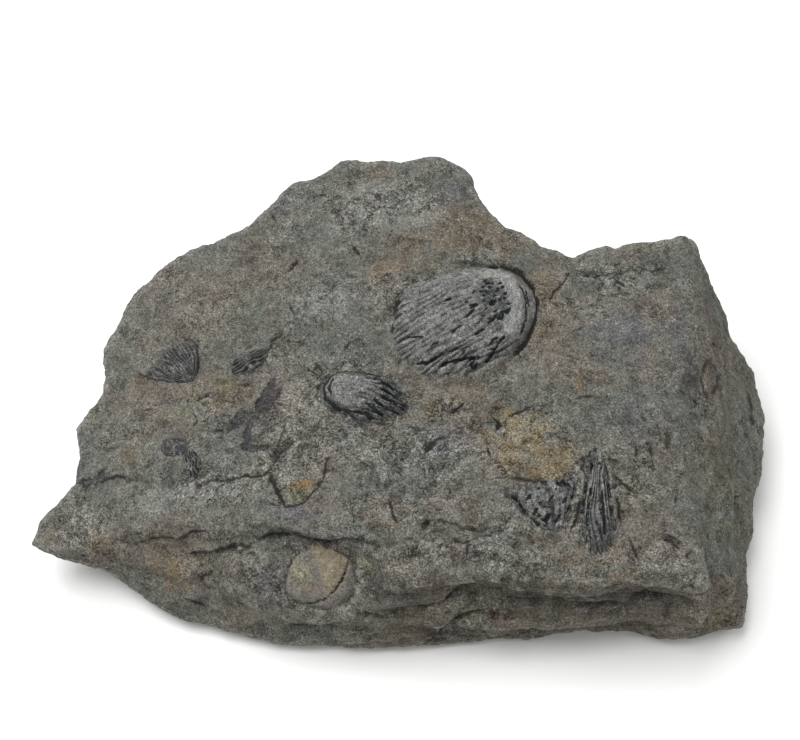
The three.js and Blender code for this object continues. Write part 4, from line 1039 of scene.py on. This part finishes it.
for stain, spots in STAINS.items():
    total = np.zeros(len(points))
    for x, y, z, reach, back, strong in spots:
        away = (points - [x, y, z]) / [reach, back, max(back, 4.0)]
        total += strong * np.exp(-(away**2).sum(1))
    readings[stain] = np.minimum(total, 1.5)
upper, flank = strokes_near(points, facing)
flank_nearer = flank["near"] > upper["near"]
# The front flank that faces forward is darkened as painted shade, most from the middle to the right; the same
# share lays on its pale beds.
front = rise(-facing[:, 1], 0.35, 0.7) * (points[:, 1] < FLANK_FROM)
readings["flank"] = front * (0.3 + 0.7 * rise(points[:, 0], -16, 4) * (1 - 0.5 * rise(points[:, 0], 50, 66)))
readings["stroke_side"] = np.where(flank_nearer, flank["side"], upper["side"])
readings["stroke_width"] = np.where(flank_nearer, flank["wide"], upper["wide"])
readings["stroke_dark"] = np.where(flank_nearer, flank["dark"] * flank["near"], upper["dark"] * upper["near"])


def stands_above(mesh, points, facing, rounds):
    """How far each point stands above the average of the stone round it, in mm."""
    level = points.copy()
    for _ in range(rounds):
        level = 0.5 * level + 0.5 * middles_round(mesh, level)
    return ((points - level) * facing).sum(1)


readings["raised"] = np.clip(stands_above(lighter, points, facing, rounds=14) / 0.35, -2, 2)
readings["raised_wide"] = np.clip(stands_above(lighter, points, facing, rounds=90) / 0.9, -2, 2)


def stone_finish():
    """Grey mudstone: drifts of colour, the stains, painted shade on the front flank and in the lows, a painted
    highlight on the highs, dirt, scratches, and the marks drawn in.
    """
    mud = Finish("grey_mudstone", (99, 101, 95))
    between, times, plus, reading = mud.between, mud.times, mud.plus, mud.reading
    broad = mud.cloudy(13.0, 5.0, 0.62)
    drift = mud.cloudy(15.0, 3.0, 0.6)
    patch = mud.cloudy(3.6, 5.0, 0.7, 0.6)
    dirt = mud.cloudy(1.5, 4.0, 0.75, 0.8)
    grain = mud.cloudy(0.85, 4.0, 0.74, 1.8)
    speck = mud.cloudy(0.33, 2.0, 0.6, 0.8)
    bed = mud.cloudy(4.0, 4.0, 0.66, stretch=(1.0, 1.0, 4.5))

    # Broad drifts, the front flank darkened to olive as painted shade, and its pale beds.
    mud.coat(between(broad, 0.38, 0.62), (113, 111, 103))
    mud.coat(between(drift, 0.47, 0.66, 0.0, 0.6), (112, 104, 94))
    mud.coat(between(drift, 0.48, 0.34, 0.0, 0.5), (98, 102, 94))
    mud.coat(times(reading("flank"), 0.68), (76, 70, 58))
    mud.coat(times(between(bed, 0.53, 0.62, 0.0, 0.55), reading("flank")), (112, 106, 92))

    # The stains, with ragged edges. The dark one is partly painted shade low on the front flank.
    ragged = between(mud.cloudy(4.2, 2.5, 0.55, 0.8), 0.34, 0.66, 0.4, 1.6)
    for stain, chart, most in (
        ("warm", (114, 103, 88), 0.78), ("cool", (94, 97, 101), 0.75), ("pale", (130, 130, 124), 0.75),
        ("mud", (112, 109, 101), 0.8), ("plum", (98, 94, 101), 0.8), ("moss", (110, 109, 86), 0.75),
        ("ochre", (124, 111, 86), 0.95), ("orange", (136, 110, 74), 0.85), ("rust", (68, 46, 36), 0.9),
        ("dark", (66, 64, 60), 0.8),
    ):
        mud.coat(between(times(reading(stain), ragged), 0.08, 0.95, 0.0, most), chart)

    # Painted shade in the lows and a painted highlight on the highs, with dirt and dust where the stone is
    # rough.
    height = plus(reading("raised"), times(reading("raised_wide"), 0.5))
    mud.coat(between(height, -0.3, -1.7, 0.0, 0.7), (62, 57, 50))
    mud.coat(between(height, 0.3, 1.7, 0.0, 0.4), (140, 139, 132))
    busy = plus(reading("rough"), between(mud.cloudy(9.0, 3.0, 0.6), 0.38, 0.62, -0.1, 0.45))
    busy = between(busy, 0.0, 1.0, 0.28, 1.0)
    mud.coat(times(between(dirt, 0.57, 0.69, 0.0, 0.85), busy), (54, 51, 46))
    mud.coat(times(between(dirt, 0.42, 0.31, 0.0, 0.5), busy), (146, 145, 138))

    # The wide scraps of shell, dark scratches, chalky ones, and the grain.
    wander = plus(reading("stroke_side"), between(dirt, 0.3, 0.7, -0.28, 0.28))
    width = times(reading("stroke_width"), between(patch, 0.35, 0.62, 0.55, 1.3))
    reach = mud.math("SUBTRACT", width, mud.math("ABSOLUTE", wander))
    reach = plus(reach, between(grain, 0.3, 0.7, -0.18, 0.18))
    inked = reading("stroke_dark")
    scrap = times(between(reading("stroke_width"), 0.62, 0.7), inked)
    mud.coat(times(between(reach, -0.15, 0.2), times(scrap, 1.4)), (70, 67, 70))
    short = times(between(patch, 0.46, 0.56), between(busy, 0.0, 0.8, 0.3, 1.0))
    mud.coat(times(mud.threads(1.7, 0.09, 1.6), short), (44, 42, 39))
    chalk = times(mud.threads(1.25, 0.08, 1.9), between(patch, 0.54, 0.44))
    mud.coat(times(chalk, times(busy, 0.75)), (166, 165, 158))
    darkest = between(busy, 0.0, 1.0, 0.7, 0.5)
    palest = between(busy, 0.0, 1.0, 1.3, 1.5)
    mud.shade(between(grain, 0.38, 0.62, darkest, palest))
    mud.shade(between(speck, 0.38, 0.62, 0.72, 1.28))
    mud.coat(between(speck, 0.38, 0.33, 0.0, 0.8), (38, 36, 34))

    # The thin lines: dark scraps of shell, and painted shade in the cracks, the gaps along the fossils and the
    # flank's hollows; then the edges of the scraps.
    narrow = between(reading("stroke_width"), 0.7, 0.62)
    mud.coat(times(between(reach, -0.16, 0.08), times(narrow, inked)), (36, 34, 34))
    rim = between(mud.math("ABSOLUTE", mud.math("SUBTRACT", reach, 0.08)), 0.26, 0.06)
    mud.coat(times(rim, times(scrap, 1.3)), (36, 34, 36))
    return mud.relief(plus(grain, times(dirt, -0.6)), deep=0.5, roughness=0.92, specular=0.25)


keep_readings(lighter, readings)
lighter.materials.clear()
lighter.materials.append(stone_finish())
lighter.shade_smooth()
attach(stone, "root")
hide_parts("stone_block")

# The place it was photographed in.
# A plain pale floor, one broad soft lamp above and behind, and even light all round. The camera
# looks down on the upper face and the front flank.
FLOOR_SIDE = 6.0
floor_mesh = bpy.data.meshes.new("floor")
half = FLOOR_SIDE / 2
floor_corners = [(-half, -half, 0), (half, -half, 0), (half, half, 0), (-half, half, 0)]
floor_mesh.from_pydata(floor_corners, [], [(0, 1, 2, 3)])
floor = bpy.data.objects.new("floor", floor_mesh)
bpy.context.scene.collection.objects.link(floor)
floor_paint = bpy.data.materials.new("pale_floor")
floor_paint.use_nodes = True
floor_paint.node_tree.nodes["Principled BSDF"].inputs["Base Color"].default_value = tint((246, 246, 245))
floor_paint.node_tree.nodes["Principled BSDF"].inputs["Roughness"].default_value = 0.85
floor_mesh.materials.append(floor_paint)

world = bpy.data.worlds.new("even_light")
world.use_nodes = True
world.node_tree.nodes["Background"].inputs["Color"].default_value = (1.0, 1.0, 1.0, 1.0)
world.node_tree.nodes["Background"].inputs["Strength"].default_value = 0.68
bpy.context.scene.world = world

lamp_data = bpy.data.lights.new("soft_lamp", "AREA")
lamp_data.shape = "RECTANGLE"
lamp_data.size = 0.9
lamp_data.size_y = 0.7
lamp_data.energy = 9.0
lamp = bpy.data.objects.new("soft_lamp", lamp_data)
lamp.location = (-0.3, 0.05, 0.9)
lamp.rotation_mode = "QUATERNION"
lamp.rotation_quaternion = (lamp.location - Vector((0, 0, 0.03))).to_track_quat("Z", "Y")
bpy.context.scene.collection.objects.link(lamp)

camera_data = bpy.data.cameras.new("camera")
camera_data.lens = 90.0
camera_data.sensor_width = 36.0
camera_data.sensor_fit = "HORIZONTAL"
camera = bpy.data.objects.new("camera", camera_data)
camera.location = (-0.0010, -0.26304, 0.36872)
camera.rotation_euler = (math.radians(38.0), 0.0, 0.0)
bpy.context.scene.collection.objects.link(camera)
bpy.context.scene.camera = camera
bpy.context.scene.view_settings.view_transform = "Standard"
